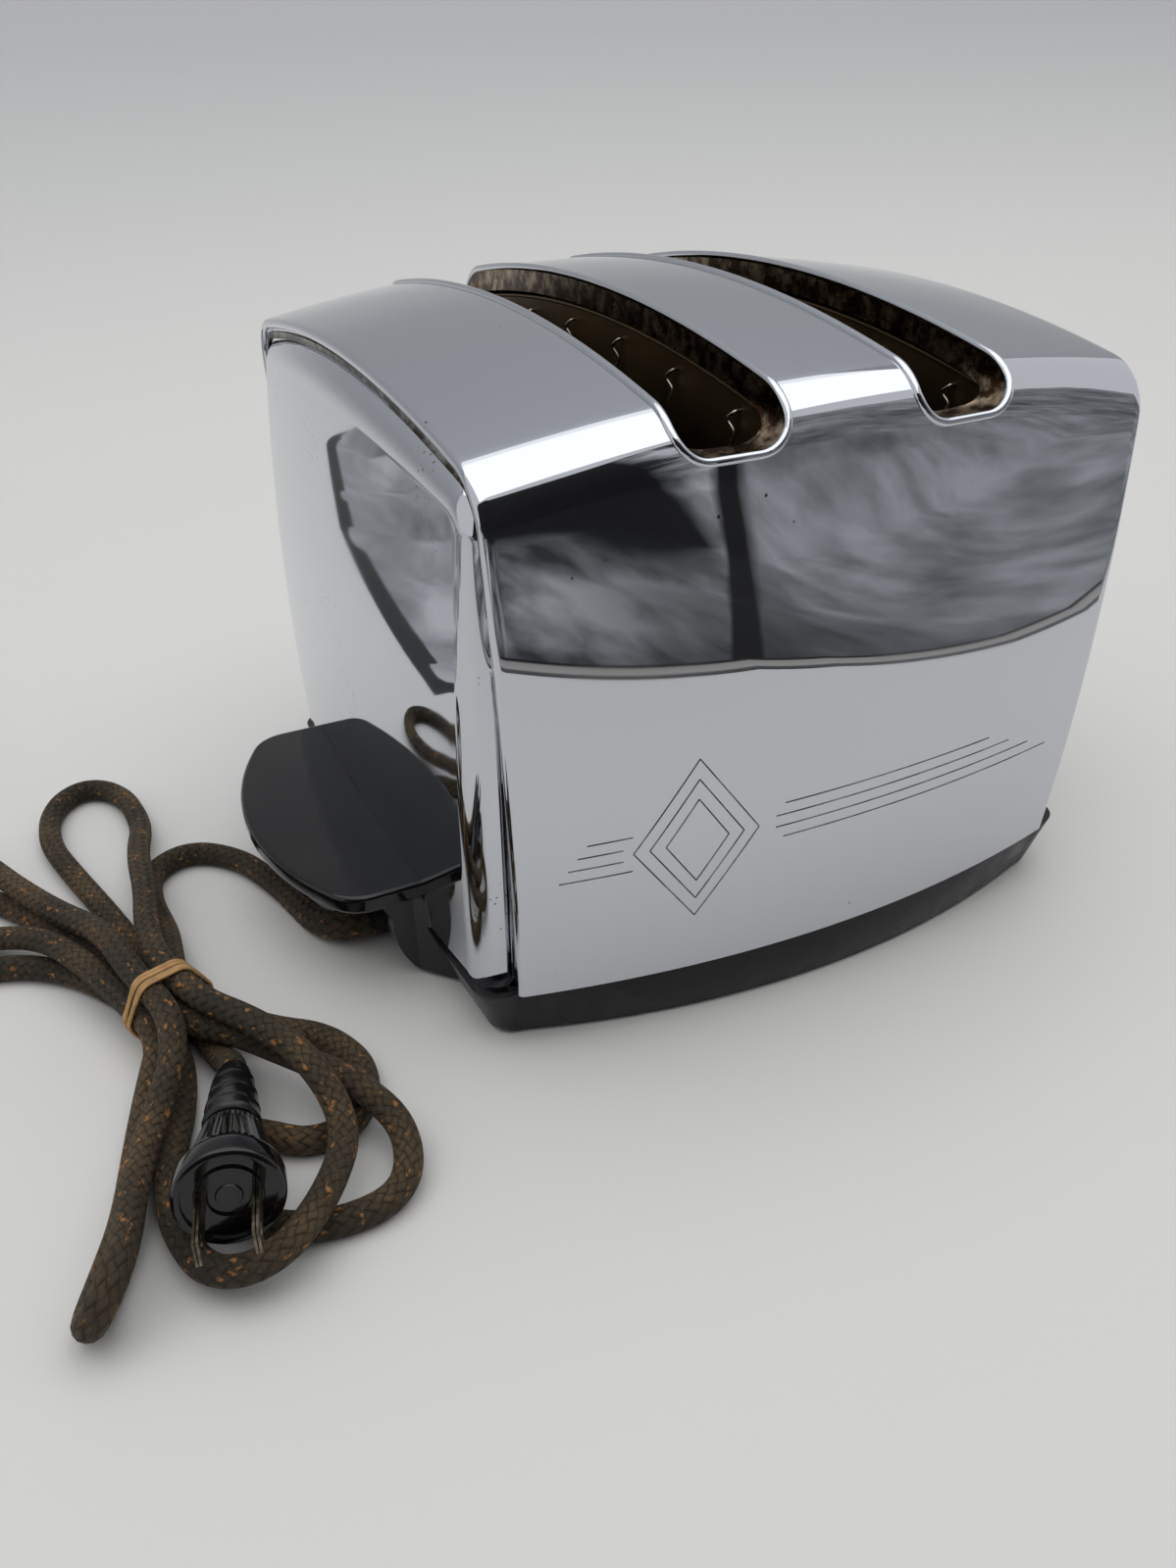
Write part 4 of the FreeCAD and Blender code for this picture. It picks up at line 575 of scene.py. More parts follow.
def plugBlades():
    # folded brass blades with a hole near the tip
    side = Vector((0, 0, 1)).cross(plugAxis).normalized()
    up = plugAxis.cross(side)
    turn = Matrix((plugAxis, side, up)).transposed().to_4x4()
    whole = bmesh.new()
    for sign in (-1, 1):
        form = bmesh.new()
        for leaf in (-1, 1):
            made = bmesh.ops.create_cube(form, size=1)["verts"]
            for v in made:
                v.co = Vector((28.7 + (v.co.x + 0.5) * 18.6, sign * 6.35 + leaf * 0.42 + v.co.y * 0.7,
                               v.co.z * 6.3)) * mm
        mesh = bpy.data.meshes.new("leaf")
        form.to_mesh(mesh)
        form.free()
        whole.from_mesh(mesh)
        bpy.data.meshes.remove(mesh)
    mesh = bpy.data.meshes.new("plugBlades")
    whole.to_mesh(mesh)
    whole.free()
    thing = linked("plugBladePair", mesh, "brass")
    holes = []
    for sign in (-1, 1):
        form = bmesh.new()
        bmesh.ops.create_cone(form, cap_ends=True, segments=24, radius1=1.6 * mm, radius2=1.6 * mm, depth=6 * mm)
        bmesh.ops.rotate(form, verts=form.verts, matrix=Matrix.Rotation(math.pi / 2, 3, "X"))
        bmesh.ops.translate(form, verts=form.verts, vec=Vector((43.2, sign * 6.35, 0)) * mm)
        holes.append(form)
    carved(thing, holes)
    easing = thing.modifiers.new("ease", "BEVEL")
    easing.width, easing.segments, easing.limit_method = 0.18 * mm, 2, "ANGLE"
    easing.angle_limit = math.radians(40)
    bpy.context.view_layer.update()
    applied(thing)
    thing.data.transform(Matrix.Translation(plugStart) @ turn)
    sharpened(thing, 40)
    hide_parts("plug_blades")
    return thing


def tapedNeck():
    # vinyl tape wound over the lead where it enters the plug, with lapped edges
    points = [tip - plugAxis * 3 * mm + plugAxis * (i * 0.4 * mm) for i in range(61)]

    def radius(way):
        share = min(1.0, way / 0.024)
        lap = (way % 0.0065) / 0.0065
        return (4.4 + 2.6 * share ** 0.7 + 0.3 * lap) * mm

    thing = tube("tapedNeck", points, radius, 32, "tape")
    for v in thing.data.vertices:
        v.co += Vector((0.35 * math.sin(900 * v.co.z), 0.3 * math.sin(700 * v.co.x), 0)) * mm * 0.6
    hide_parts("plug_tape")
    return thing


plug, blades, taped = plugBody(), plugBlades(), tapedNeck()

# tan rubber band, wound four times round the gathered strands
bandFacts = {"place": (-180.0, -47.0), "turn": -72.5, "pitch": 8.0, "rise": 7.0, "low": 4.8, "thick": 0.9}


def bandLoop(name, shift, lean, puff):
    pitch, low, rise = bandFacts["pitch"] / 2, bandFacts["low"], bandFacts["rise"]
    strands = [(pitch, low), (2 * pitch, low + rise), (pitch, low + 2 * rise), (-pitch, low + 2 * rise),
               (-2 * pitch, low + rise), (-pitch, low)]
    reach = leadFacts["thick"] / mm / 2 + 0.55 + puff
    outline = []
    for k in range(6):
        before, here, after = (Vector(strands[(k + d) % 6]) for d in (-1, 0, 1))
        a, b = (here - before).normalized(), (after - here).normalized()
        for i in range(7):
            ahead = a.lerp(b, i / 6).normalized()
            outline.append(here + Vector((ahead.y, -ahead.x)) * reach)
    turn = Matrix.Rotation(math.radians(bandFacts["turn"]), 3, "Z")
    place = Vector((*bandFacts["place"], 0))
    points = []
    for u, z in outline:
        along = shift + lean * (z - 12) / 12
        points.append((turn @ Vector((along, u, max(z, 0.7))) + place) * mm)
    return closedTube(name, points, 0.75 * mm, 10, "tan_rubber", flat=0.7)


bands = [bandLoop("rubberBand%d" % i, shift, lean, puff) for i, (shift, lean, puff) in enumerate(
    [(-1.9, 1.2, 0.0), (-0.4, -1.6, 0.25), (1.1, 1.4, 0.1), (2.0, -0.5, 0.3)], 1)]
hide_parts("rubber_band")

print("stage: chrome shell")

# the pillow form in millimetres, as in the part's source
pillow = {"crown": 184.0, "drop": 9.8, "arch": 508.0, "foot": 18.2, "lowEnd": 92.6, "highEnd": 96.5,
          "highAt": 166.0, "station": 98.5, "low": (96.0, 13.7), "waist": (102.6, 8.9), "waistAt": 92.0,
          "high": (101.5, 4.0), "shoulder": 16.0, "skin": 0.9}
slots = {"near": 19.1, "far": 47.9, "floor": 162.0, "round": 8.0, "rimDeep": 7.5, "rimWall": 0.8,
         "bead": 1.15}
# rolled hem, groove and inner flange at each end
hem = {"round": 1.5, "groove": 1.9, "lip": 9.0}


def circleThrough(a, b, c):
    # centre and radius of the circle through three points of a plane
    ax, ay, bx, by, cx, cy = *a, *b, *c
    d = 2 * (ax * (by - cy) + bx * (cy - ay) + cx * (ay - by))
    x = ((ax ** 2 + ay ** 2) * (by - cy) + (bx ** 2 + by ** 2) * (cy - ay) + (cx ** 2 + cy ** 2) * (ay - by)) / d
    y = ((ax ** 2 + ay ** 2) * (cx - bx) + (bx ** 2 + by ** 2) * (ax - cx) + (cx ** 2 + cy ** 2) * (bx - ax)) / d
    return Vector((x, y)), math.hypot(ax - x, ay - y)


def section(x, inset=0.0, shoulder=None, steps=(26, 14, 22), bow=None):
    # half a cross-section at x, from the foot up to the crown: points (half depth, height), in millimetres
    f = 1 - (x / pillow["station"]) ** 2 if bow is None else bow
    half = {key: pillow[key][0] + pillow[key][1] * f - inset for key in ("low", "waist", "high")}
    top = pillow["crown"] - pillow["drop"] * (1 - f) - inset
    arch = pillow["arch"] - inset
    r = (pillow["shoulder"] if shoulder is None else shoulder) - inset
    c1, r1 = circleThrough((half["low"], pillow["foot"]), (half["waist"], pillow["waistAt"]),
                           (half["high"], pillow["highAt"]))
    c2 = Vector((0, top - arch))
    step = c2 - c1
    p, q = r1 - r, arch - r
    ahead = (step.length ** 2 + p * p - q * q) / (2 * step.length)
    aside = math.sqrt(p * p - ahead * ahead)
    step.normalize()
    side = Vector((step.y, -step.x))
    c = max((c1 + step * ahead + side * aside, c1 + step * ahead - side * aside), key=lambda v: v.x + v.y)
    toSide, toArch = (c - c1).normalized(), (c - c2).normalized()
    start = math.atan2(pillow["foot"] - c1.y, half["low"] - c1.x)
    points = []
    for a, b, centre, radius, count in (
            (start, math.atan2(toSide.y, toSide.x), c1, r1, steps[0]),
            (math.atan2(toSide.y, toSide.x), math.atan2(toArch.y, toArch.x), c, r, steps[1]),
            (math.atan2(toArch.y, toArch.x), math.pi / 2, c2, arch, steps[2])):
        for i in range(count):
            turn = a + (b - a) * i / count
            points.append((centre.x + radius * math.cos(turn), centre.y + radius * math.sin(turn)))
    return points + [(0.0, top)]


def around(x, inset=0.0, **more):
    # the whole section at x, front foot over the top to back foot, as points (y, z)
    half = section(x, inset, **more)
    return [(-y, z) for y, z in half] + [(y, z) for y, z in reversed(half[:-1])]


def endPlane(z):
    return pillow["lowEnd"] + (pillow["highEnd"] - pillow["lowEnd"]) * (z - pillow["foot"]) / (
        pillow["highAt"] - pillow["foot"])


def sectionPoint(x, inset, i):
    # one point of the whole section at any x, read between sections a tenth of a millimetre apart
    low = math.floor(x * 10) / 10
    for key in (low, low + 0.1):
        if (round(key, 1), inset) not in sectionsAt:
            sectionsAt[(round(key, 1), inset)] = around(round(key, 1), inset)
    a, b = sectionsAt[(round(low, 1), inset)][i], sectionsAt[(round(low + 0.1, 1), inset)][i]
    k = (x - low) / 0.1
    return a[0] + (b[0] - a[0]) * k, a[1] + (b[1] - a[1]) * k


sectionsAt = {}


def hemStations():
    # the inner flange, the groove and the rolled hem, as (drawn back from the end plane, inset)
    r, groove = hem["round"], hem["groove"]
    rolled = [(r * (1 - math.sin(math.radians(a))), r * (1 + math.cos(math.radians(a))))
              for a in range(0, 181, 20)]
    return [(groove, hem["lip"]), (groove, 5.5), (groove, 3.8), (groove - 0.3, 3.2), (r + 0.2, 2 * r)] + rolled


def shellForm():
    # rows of points across the toaster: hem, span, hem
    ends = [(-1, back, round(inset, 3)) for back, inset in hemStations()]
    spans = [(-1 + 2 * i / 96, None, 0.0) for i in range(1, 96)]
    rows = []
    for t, back, inset in ends + spans + [(1, back, inset) for _, back, inset in reversed(ends)]:
        row = []
        for i, (_, z) in enumerate(around(t * endPlane(100), inset)):
            for _ in range(2):
                x = t * (endPlane(z) - (hem["round"] if back is None else back))
                y, z = sectionPoint(x, inset, i)
            row.append(Vector((x, y, z)) * mm)
        rows.append(row)
    return rows


def slotCutter(side):
    near, far = slots["near"] * mm * side, slots["far"] * mm * side
    form = block("slot", (min(near, far), -0.15, slots["floor"] * mm), (max(near, far), 0.15, 0.21))
    low = [e for e in form.edges if abs(e.verts[0].co.z - slots["floor"] * mm) < 1e-6
           and abs(e.verts[1].co.z - slots["floor"] * mm) < 1e-6
           and abs(e.verts[0].co.x - e.verts[1].co.x) < 1e-6]
    bmesh.ops.bevel(form, geom=low, offset=slots["round"] * mm, segments=10, profile=0.5, affect="EDGES",
                    material=-1)
    return form


shell = gridPiece("chromeShell", shellForm(), "chrome")
thickened(shell, pillow["skin"] * mm)
bpy.context.view_layer.update()
applied(shell)
carved(shell, [slotCutter(1), slotCutter(-1)])
sharpened(shell, 40)
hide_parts("body_shell")


def depthAt(x, z, inset=0.0):
    # half depth of the pillow at x and height z on its sides
    half = section(x, inset)
    for (y0, z0), (y1, z1) in zip(half, half[1:]):
        if z0 <= z <= z1 and z1 > z0:
            return y0 + (y1 - y0) * (z - z0) / (z1 - z0)
    return half[-1][0]


def slotEdge(side, inset=0.0, grow=0.0):
    # closed line of one slot's mouth on the pillow, with the direction into the slot at each point
    near, far, floor, r = slots["near"] - grow, slots["far"] + grow, slots["floor"] - grow, slots["round"] + grow
    path = []

    def climb(x, inward):
        ring = [p for p in around(x, inset) if p[1] >= floor + r]
        return [(Vector((x * side, y, z)), Vector((inward * side, 0, 0))) for y, z in ring]

    def low(face, start, end):
        found = []
        spots = []
        if start < end:
            corners = ((near + r, 180, 270), (far - r, 270, 360))
        else:
            corners = ((far - r, 360, 270), (near + r, 270, 180))
        for k, (cx, a, b) in enumerate(corners):
            spots += [(cx + r * math.cos(math.radians(a + (b - a) * i / 10)),
                       floor + r + r * math.sin(math.radians(a + (b - a) * i / 10)),
                       Vector((-math.cos(math.radians(a + (b - a) * i / 10)) * side, 0,
                               -math.sin(math.radians(a + (b - a) * i / 10))))) for i in range(11)]
            if k == 0:
                ends = (corners[0][0], corners[1][0])
                spots += [(ends[0] + (ends[1] - ends[0]) * i / 7, floor, Vector((0, 0, 1))) for i in range(1, 7)]
        for x, z, inward in spots:
            found.append((Vector((x * side, face * depthAt(x, z, inset), z)), inward))
        return found

    path += climb(near, 1)                      # front to back along the near edge
    path += low(1, near, far)                   # the back mouth
    path += list(reversed(climb(far, -1)))      # back to front along the far edge
    path += low(-1, far, near)                  # the front mouth
    cleaned = [path[0]]
    for p in path[1:]:
        if (p[0] - cleaned[-1][0]).length > 0.3:
            cleaned.append(p)
    if (cleaned[0][0] - cleaned[-1][0]).length < 0.3:
        cleaned.pop()
    return cleaned


for side, word in ((1, "Right"), (-1, "Left")):
    edge = slotEdge(side, 0.15, slots["bead"] * 0.55)
    bead = closedTube("slotBead" + word, [p * mm for p, _ in edge], slots["bead"] * mm, 12, "chrome")


def flange(side, word):
    # strip that hangs from the mouth's edge into the slot
    depths = [0.4, 1.6, 3.2, 5.0, 6.4, slots["rimDeep"]]
    lines = [slotEdge(side, d) for d in depths]
    rows = []
    for line in lines:
        # each line read at the same number of places
        total, ways = 0.0, [0.0]
        for a, b in zip(line, line[1:] + line[:1]):
            total += (b[0] - a[0]).length
            ways.append(total)
        row = []
        for i in range(240):
            want = total * i / 240
            k = max(j for j in range(len(line)) if ways[j] <= want)
            a, b = line[k][0], line[(k + 1) % len(line)][0]
            t = (want - ways[k]) / max(1e-9, ways[k + 1] - ways[k])
            row.append((a + (b - a) * t) * mm)
        rows.append(row + row[:1])
    thing = gridPiece("slotFlange" + word, rows, "stained_rim")
    return thing


print("stage: end panels")

panel = {"inset": 5.5, "far": 106.0, "dome": 900.0, "domeAt": 60.0, "corner": 13.0, "edge": 8.0, "skin": 0.9}


def domeX(y, z):
    return panel["far"] - panel["dome"] + math.sqrt(panel["dome"] ** 2 - y * y - (z - panel["domeAt"]) ** 2)


def panelOutline(inset):
    # the cap's arched outline: as the shell's end section, with its own smaller shoulder
    return around(0, panel["inset"] + inset, shoulder=panel["corner"] + panel["inset"],
                  bow=0.0, steps=(30, 14, 24))


def panelRings(side):
    rows, edge = [], panel["edge"]
    outer = panelOutline(0.0)
    rows.append([Vector((side * (endPlane(z) - 3.0), y, z)) * mm for y, z in outer])
    for turn in range(0, 91, 10):
        a = math.radians(turn)
        line = panelOutline(edge * (1 - math.cos(a)))
        rim = panelOutline(edge)
        rows.append([Vector((side * (domeX(*rim[i]) - edge * (1 - math.sin(a))), y, z)) * mm
                     for i, (y, z) in enumerate(line)])
    rim = panelOutline(edge)
    for k in [0.97, 0.94, 0.9, 0.85, 0.8, 0.72, 0.64, 0.56, 0.48, 0.4, 0.32, 0.24, 0.16, 0.08, 0.0]:
        row = []
        for y, z in rim:
            yy, zz = y * k, pillow["foot"] + (z - pillow["foot"]) * k
            row.append(Vector((side * domeX(yy, zz), yy, zz)) * mm)
        rows.append(row)
    return rows


def endPanel(side, word, node):
    thing = gridPiece("endPanel" + word, panelRings(side), "chrome_panel")
    thickened(thing, panel["skin"] * mm)
    bpy.context.view_layer.update()
    applied(thing)
    if side > 0:
        carved(thing, [block("lever", (0.085, -0.003, 0.050), (0.112, 0.003, 0.126)),
                       block("dial", (0.085, -0.013, 0.043), (0.112, 0.013, 0.049))])
    sharpened(thing, 40)
    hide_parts(node)
    return thing


endPanel(-1, "Left", "end_panel_left")
endPanel(1, "Right", "end_panel_right")

print("stage: dark mouldings")


def softened(name, node, slot, width=0.35, degrees=35):
    # a CAD piece with its crisp edges eased a little
    body = nodes[node]["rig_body"]
    form = bmesh.new()
    form.from_mesh(nodes[node].data)
    bmesh.ops.remove_doubles(form, verts=form.verts, dist=2e-6)
    bmesh.ops.dissolve_limit(form, angle_limit=math.radians(0.4), verts=form.verts, edges=form.edges)
    limit = math.radians(degrees)
    crisp = [e for e in form.edges if len(e.link_faces) == 2 and e.calc_face_angle(0) > limit]
    if width:
        bmesh.ops.bevel(form, geom=crisp, offset=width * mm, segments=2, profile=0.5, affect="EDGES",
                        clamp_overlap=True, material=-1)
    mesh = bpy.data.meshes.new(name)
    form.to_mesh(mesh)
    form.free()
    thing = linked(name, mesh, slot, body)
    sharpened(thing, degrees)
    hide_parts(node)
    return thing


for name, node, slot in (("baseRing", "base", "black_base"), ("gripLeft", "handle_left", "black_phenolic"),
                         ("gripRight", "handle_right", "black_phenolic"),
                         ("leverKnob", "lift_knob", "black_phenolic"),
                         ("dialKnob", "browning_knob", "black_phenolic")):
    softened(name, node, slot)

for side, word in ((1, "Right"), (-1, "Left")):
    flange(side, word)

print("stage: seam, engraving and contact lines")


def grooveDirt(side, word):
    # grime that has settled in the groove between the shell's hem and the end panel
    rows = []
    for back, inset in ((hem["groove"] - 0.25, 3.35), (hem["groove"] - 0.12, 3.9), (hem["groove"] - 0.12, 5.2),
                        (hem["groove"] - 0.7, 5.42)):
        line = around(0, inset, bow=0.0)
        rows.append([Vector((side * (endPlane(z) - back), y, z)) * mm for y, z in line])
    return gridPiece("seamGrime" + word, rows, "seam_grime")


for side, word in ((1, "Right"), (-1, "Left")):
    grooveDirt(side, word)

# a plain line pattern scratched into the front, in millimetres across and up
motif = {"wide": 0.4, "rise": 0.04, "lozengeAt": (-44.0, 62.0), "lozenges": ((18.0, 25.0), (13.5, 19.0), (9.0, 13.0)),
         "lines": 4, "pitch": 3.6, "low": 56.6, "start": -22.0, "end": 80.0, "step": 9.0,
         "tailNear": -66.0, "tailFar": -82.0, "tailStep": 2.5}


def motifPaths():
    cx, cz = motif["lozengeAt"]
    paths = [[(cx - w, cz), (cx, cz + h), (cx + w, cz), (cx, cz - h), (cx - w, cz)] for w, h in motif["lozenges"]]
    for i in range(motif["lines"]):
        z = motif["low"] + i * motif["pitch"]
        paths.append([(motif["start"] + abs(z - cz) * 0.7, z), (motif["end"] - i * motif["step"], z)])
        paths.append([(motif["tailNear"] + abs(z - cz) * 0.7, z), (motif["tailFar"] + i * motif["tailStep"], z)])
    return paths


def scratchOn(form, path):
    # a flat strip that follows the front's curve along one straight piece after another
    for (ax, az), (bx, bz) in zip(path, path[1:]):
        length = math.hypot(bx - ax, bz - az)
        nx, nz = -(bz - az) / length * motif["wide"] / 2, (bx - ax) / length * motif["wide"] / 2
        last = None
        count = max(1, round(length / 1.5))
        for i in range(count + 1):
            x, z = ax + (bx - ax) * i / count, az + (bz - az) * i / count
            pair = [form.verts.new(Vector((px, -depthAt(px, pz) - motif["rise"], pz)) * mm)
                    for px, pz in ((x - nx, z - nz), (x + nx, z + nz))]
            if last:
                form.faces.new((last[0], last[1], pair[1], pair[0]))
            last = pair


def engraving():
    form = bmesh.new()
    for path in motifPaths():
        scratchOn(form, path)
    for face in form.faces:
        face.normal_update()
        if face.normal.y > 0:
            face.normal_flip()
    mesh = bpy.data.meshes.new("engravedFront")
    form.to_mesh(mesh)
    form.free()
    return linked("engravedFront", mesh, "engraved")


engraving()


def contactLine(side, word):
    # thin brown line of old grease where a grip meets the chrome
    top, half = 34.7, 54.0
    points = [Vector((side * (domeX(y, top) + 0.35), y, top)) * mm
              for y in [half * (i / 24 - 1) for i in range(49)]]
    return tube("contactLine" + word, points, lambda way: 0.45 * mm, 6, "grease")


for side, word in ((1, "Right"), (-1, "Left")):
    contactLine(side, word)


# guards and the wires that keep bread off them: sides of the toaster, face of the guard and its
# way towards the bread, in millimetres
guards = {"inner": (17.4, 1), "outer": (49.6, -1)}
wires = {"thick": 1.0, "places": (-80, -48, -16, 16, 48, 80), "foot": 37.0, "drop": 10.2, "hook": 7.0}


def joined(name, things, slot):
    # several pieces as one mesh
    form = bmesh.new()
    for thing in things:
        form.from_mesh(thing.data)
        bpy.data.objects.remove(thing)
    mesh = bpy.data.meshes.new(name)
    form.to_mesh(mesh)
    form.free()
    return linked(name, mesh, slot)


def guideWires(side, word, which):
    # bent wires that come out of the guard near its top and run down in front of it
    face, way = guards[which]
    made = []
    for y in wires["places"]:
        line = around(face, wires["drop"])
        top = min(line, key=lambda p: abs(p[0] - y) + (50 if p[1] < 140 else 0))[1] - wires["hook"] * 0.4
        bends = [(-0.3, 0.0, 0.0), (1.0, 0.0, 0.2), (1.9, 0.5, -0.6), (2.4, 2.6, -2.2), (1.5, -0.4, -4.6), (1.9, -0.2, -6.4),
                 (2.7, 0.0, -9.0)]
        points = [(side * (face + way * a), y + b, top + c) for a, b, c in bends]
        points += [(side * (face + way * 2.7), y, z) for z in (top - 30, 60.0, wires["foot"] + 1.5)]
        points += [(side * (face + way * 2.2), y, wires["foot"]), (side * (face - way * 0.3), y, wires["foot"])]
        made.append(tube("wire", splinePoints("wire", points, 4), lambda s: wires["thick"] / 2 * mm, 8, "wire"))
    thing = joined("guideWires%s%s" % (word, which.capitalize()), made, "wire")
    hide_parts("guide_wires_%s_%s" % (word.lower(), which))


def guardRoll(side, word, which):
    # rolled top edge of a guard sheet, which catches the light
    face, way = guards[which]
    x = face - way * 0.4
    line = [p for p in around(x, 9.3) if p[1] > 150]
    return tube("guardRoll%s%s" % (word, which.capitalize()), [Vector((side * x, y, z)) * mm for y, z in line],
                lambda s: 0.75 * mm, 10, "guard")


for side, word in ((1, "Right"), (-1, "Left")):
    for which in guards:
        guideWires(side, word, which)
        guardRoll(side, word, which)

print("stage: inner works")

carried = {row["node"]: row["material_slot"] for row in frame["record"]["subparts"]}
for node, slot in carried.items():
    thing = nodes[node]
    thing.data.materials.clear()
    thing.data.materials.append(finishes["guard" if node.startswith("guard_") else slot])

print("stage: floor, surroundings and lamps")

# the table's front edge lies close under the camera, and grey cloth fills what is beyond it
room = {"edge": -0.365, "rise": 0.17, "bendFrom": 0.08, "bendOver": 0.25, "wide": 2.2, "wall": 1.0}


def tableEdge(x):
    share = min(1.0, max(0.0, (x - room["bendFrom"]) / room["bendOver"]))
    return room["edge"] + room["rise"] * share * share * (3 - 2 * share)


def staged(thing, material, seen=True):
    thing.data.materials.append(material)
    thing.visible_camera = thing.visible_shadow = thing.visible_diffuse = seen
    thing.parent = None
    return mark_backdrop(thing)


def backdropPaper():
    # pale matt paper with painted shade that darkens it where it hangs up behind the table
    material, tree, shader, where = newMaterial("pale matt table with painted shade up the sweep", Roughness=0.55, Specular_IOR_Level=0.2)
    heights = addNode(tree, "SeparateXYZ", {"Vector": where}).outputs["Z"]
    rise = addNode(tree, "MapRange", {"Value": heights, "From Min": 0.0, "From Max": 0.6})
    # painted shade: the colour darkens with height up the sweep
    paint(tree, shader, Base_Color=addNode(tree, "ValToRGB", {"Fac": rise}, stops=[
        (0.0, "#e4e3e0"), (0.15, "#d9d9d7"), (0.4, "#c6c7c8"), (1.0, "#c1c2c5")]))
    return material


def greyCloth():
    # loosely hung grey cotton: soft wide folds and fine creases whose light and shade are painted in,
    # a painted dark shade where two lengths meet, and a part that falls away into painted shade
    material, tree, shader, where = newMaterial("grey cotton drop with painted fold shading", Roughness=0.9)
    wide = addNode(tree, "TexNoise", {"Vector": where, "Scale": 3.6, "Detail": 2.0, "Distortion": 0.2})
    slant = addNode(tree, "Mapping", {"Vector": where, "Rotation": (0.0, 0.0, 0.6), "Scale": (2.2, 0.7, 1.0)})
    fine = addNode(tree, "TexNoise", {"Vector": slant, "Scale": 12.0, "Detail": 6.0, "Distortion": 0.25})
    both = addNode(tree, "Mix", {0: 0.42, 2: wide, 3: fine})
    # painted highlight and shade: the folds' light and dark are painted into the colour
    bright = addNode(tree, "ValToRGB", {"Fac": both}, stops=[(0.38, "#4a4b4d"), (0.46, "#a5a6a8"), (0.56, "#e3e4e5")])
    soft = addNode(tree, "ValToRGB", {"Fac": both}, stops=[(0.36, "#5f6062"), (0.5, "#8c8d8f"), (0.64, "#b4b5b7")])
    parts = addNode(tree, "SeparateXYZ", {"Vector": where}).outputs
    gapWay = addNode(tree, "Math", {0: parts["Y"], 1: 0.483, 2: parts["X"]}, operation="MULTIPLY_ADD")
    gapMiddle = addNode(tree, "Math", {0: gapWay, 1: 0.083}, operation="ADD")
    gapOff = addNode(tree, "Math", {0: gapMiddle}, operation="ABSOLUTE")
    beyond = addNode(tree, "MapRange", {"Value": gapMiddle, "From Min": 0.0, "From Max": 0.02})
    paintedFoldLight = addNode(tree, "Mix", {0: beyond, 6: bright, 7: soft}, data_type="RGBA")
    # painted shade: near-black along the seam where two lengths meet, and over the raised part to the left
    gap = addNode(tree, "ValToRGB", {"Fac": gapOff}, stops=[(0.012, 1.0), (0.03, 0.0)])
    rise = addNode(tree, "MapRange", {"Value": parts["Z"], "From Min": -0.03, "From Max": 0.0})
    aside = addNode(tree, "MapRange", {"Value": parts["X"], "From Min": 0.3, "From Max": 0.24})
    shade = addNode(tree, "Math", {0: rise, 1: aside}, operation="MULTIPLY")
    dark = addNode(tree, "Math", {0: gap, 1: shade}, operation="MAXIMUM")
    paint(tree, shader, Base_Color=addNode(tree, "Mix", {0: dark, 6: paintedFoldLight, 7: "#060607"}, data_type="RGBA"))
    return material


def boundEdge():
    # a pale metal strip between two dark lines of painted shade
    material, tree, shader, where = newMaterial("table binding with painted shade lines", Roughness=0.5)
    way = addNode(tree, "SeparateXYZ", {"Vector": addNode(tree, "UVMap", uv_map="UVMap")}).outputs["Y"]
    # painted shade: the two near-black bands along the table's front edge
    paint(tree, shader, Base_Color=addNode(tree, "ValToRGB", {"Fac": way}, stops=[
        (0.0, "#8b8a87"), (0.1, "#1c1c1d"), (0.24, "#b5b2ab"), (0.7, "#a5a29b"), (0.84, "#141415")]))
    return material


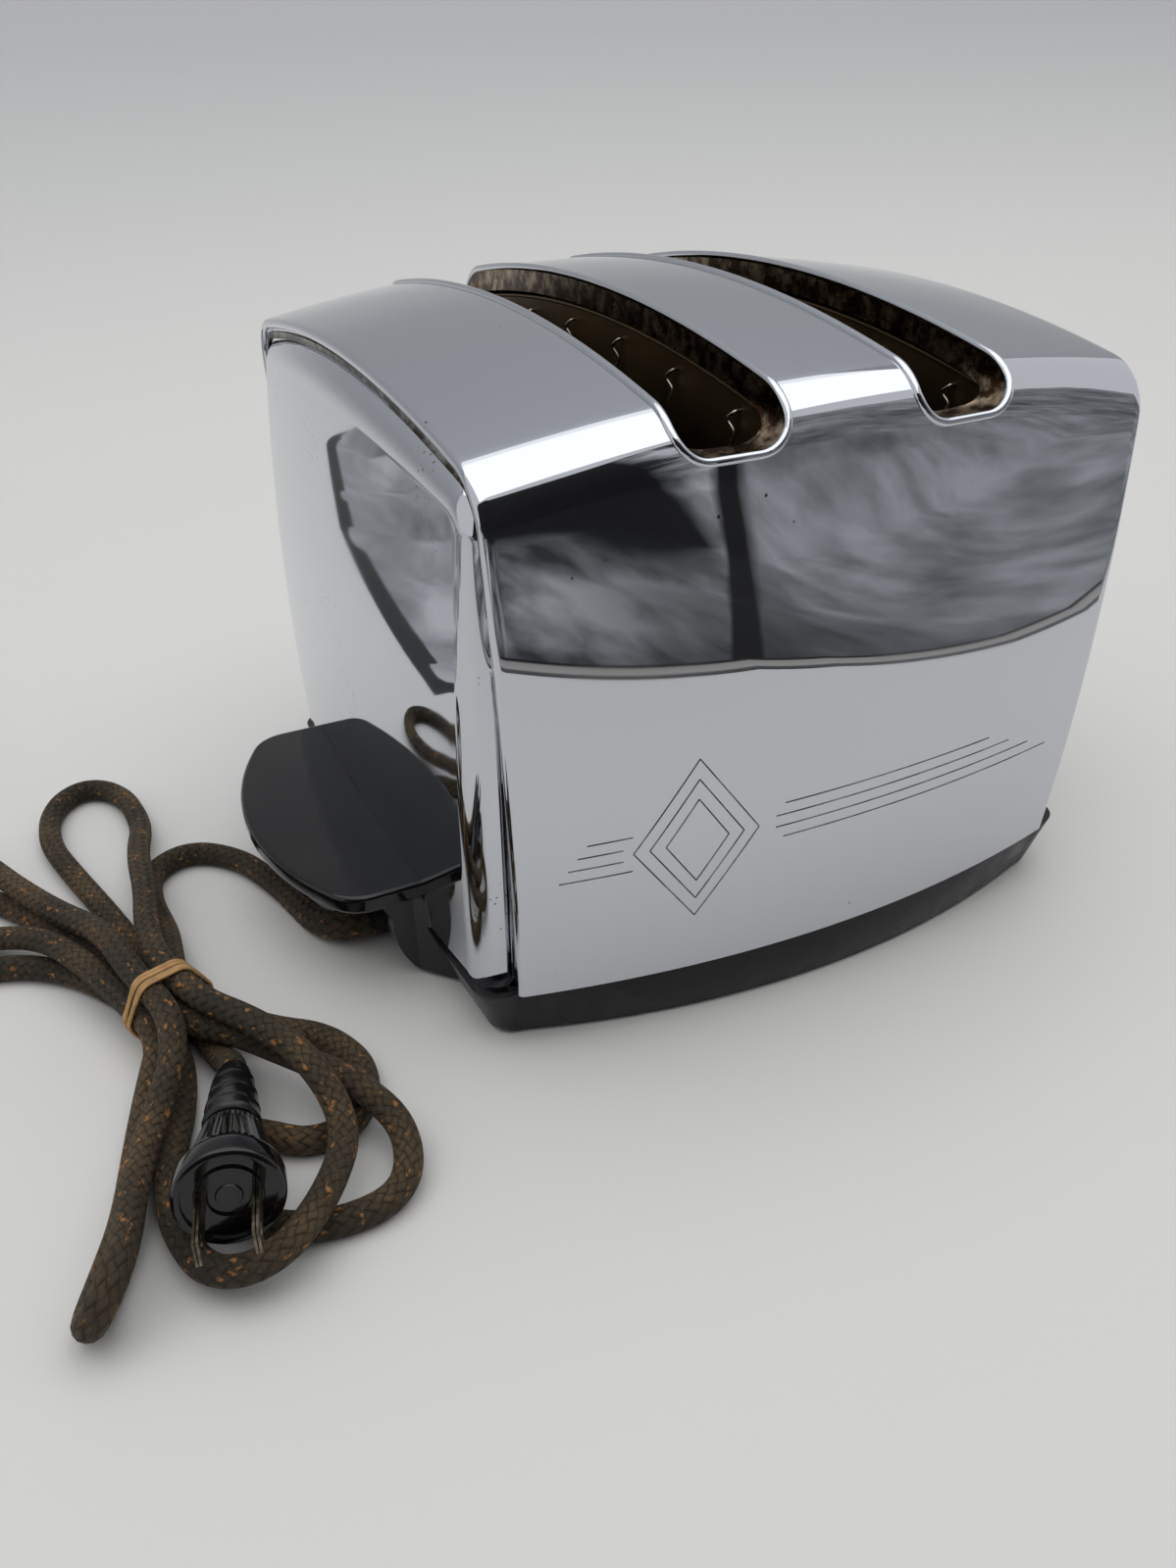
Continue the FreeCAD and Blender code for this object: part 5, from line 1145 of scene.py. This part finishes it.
def surroundings():
    profile = [(-0.3, 0.0), (0.0, 0.0), (0.55, 0.0)]
    profile += [(0.55 + 0.45 * math.sin(math.radians(a)), 0.45 * (1 - math.cos(math.radians(a))))
                for a in range(6, 91, 6)] + [(room["wall"], 2.6)]

    def table(u, v):
        x = room["wide"] * (2 * u - 1)
        y, z = profile[round(v * (len(profile) - 1))]
        return Vector((x, tableEdge(x) if y < -0.1 else y, z - 0.0004))

    def binding(u, v):
        x = room["wide"] * (2 * u - 1)
        return Vector((x, tableEdge(x) - 0.022 * v, 0.0006))

    drape = [(0.01, -0.004), (-0.1, -0.012), (-0.3, -0.02), (-0.5, 0.0), (-0.62, 0.08), (-0.7, 0.3), (-0.75, 0.7),
             (-0.78, 1.15)]

    def cloth(u, v):
        x = room["wide"] * (2 * u - 1)
        spot = v * (len(drape) - 1)
        k = min(len(drape) - 2, int(spot))
        back, z = (a + (b - a) * (spot - k) for a, b in zip(drape[k], drape[k + 1]))
        fold = min(1.0, 4 * v) * (0.016 * math.sin(9 * x + 3 * v) + 0.01 * math.sin(23 * x - 7 * v))
        return Vector((x, tableEdge(x) + back + fold, z + 0.6 * fold - 0.004 * min(1.0, 8 * v)))

    def lowCloth(u, v):
        # folded cloth on the table behind, which the chrome sees and the camera does not
        y = 0.1 + 0.62 * v
        near = -0.2 - 0.067 * y - 0.16 * max(0.0, y - 0.36) - 9.0 * max(0.0, y - 0.58) ** 2
        fold = 0.006 * math.sin(60 * y + 9 * u) + 0.004 * math.sin(31 * u + 20 * y)
        return Vector((near - 0.75 * u, y, 0.012 + fold * min(1.0, 6 * u)))

    def lowEdge(u, v):
        spot = lowCloth(u * 0.03, v)
        return Vector((spot.x + 0.003, spot.y, 0.0125))

    staged(sheetFrom("tableSweep", 88, len(profile) - 1, table, None), backdropPaper())
    staged(sheetFrom("tableBinding", 88, 1, binding, None), boundEdge())
    staged(sheetFrom("frontDrop", 160, 56, cloth, None), greyCloth())
    staged(sheetFrom("lowCloth", 60, 60, lowCloth, None), paleClothPaintedLight(), False)
    # painted shade: a near-black strip along the low cloth's edge
    staged(sheetFrom("lowClothEdge", 1, 60, lowEdge, None), newMaterial("painted shade along the cloth's edge", Base_Color="#1d1d1e")[0], False)


def paleClothPaintedLight():
    # the same cotton, paler, its mottling painted highlights and shade
    material, tree, shader, where = newMaterial("pale grey cotton with painted highlights", Roughness=0.9)
    wide = addNode(tree, "TexNoise", {"Vector": where, "Scale": 9.0, "Detail": 4.0, "Distortion": 0.6})
    # painted highlight and shade: the mottled colour stands in for lit and shaded creases
    paint(tree, shader, Base_Color=addNode(tree, "ValToRGB", {"Fac": wide}, stops=[
        (0.32, "#7b7c7e"), (0.5, "#a3a4a6"), (0.68, "#cfd0d1")]))
    return material


surroundings()


def lamp(name, place, aim, size, watts, shade="#ffffff"):
    light = bpy.data.lights.new(name, "AREA")
    light.shape, light.size, light.energy = "SQUARE", size, watts
    light.color = colour(shade)[:3]
    holder = bpy.data.objects.new(name, light)
    bpy.context.scene.collection.objects.link(holder)
    direction = Vector(aim) - Vector(place)
    holder.location = place
    holder.rotation_mode = "QUATERNION"
    holder.rotation_quaternion = direction.to_track_quat("-Z", "Y")


lamp("overhead softbox", (0.1, 0.05, 1.9), (0, 0, 0), 3.0, 26)
world = bpy.data.worlds.new("room")
bpy.context.scene.world = world
world.use_nodes = True
world.node_tree.nodes["Background"].inputs["Color"].default_value = colour("#dddee0")
world.node_tree.nodes["Background"].inputs["Strength"].default_value = 0.92
bpy.context.scene.view_settings.view_transform = "Standard"
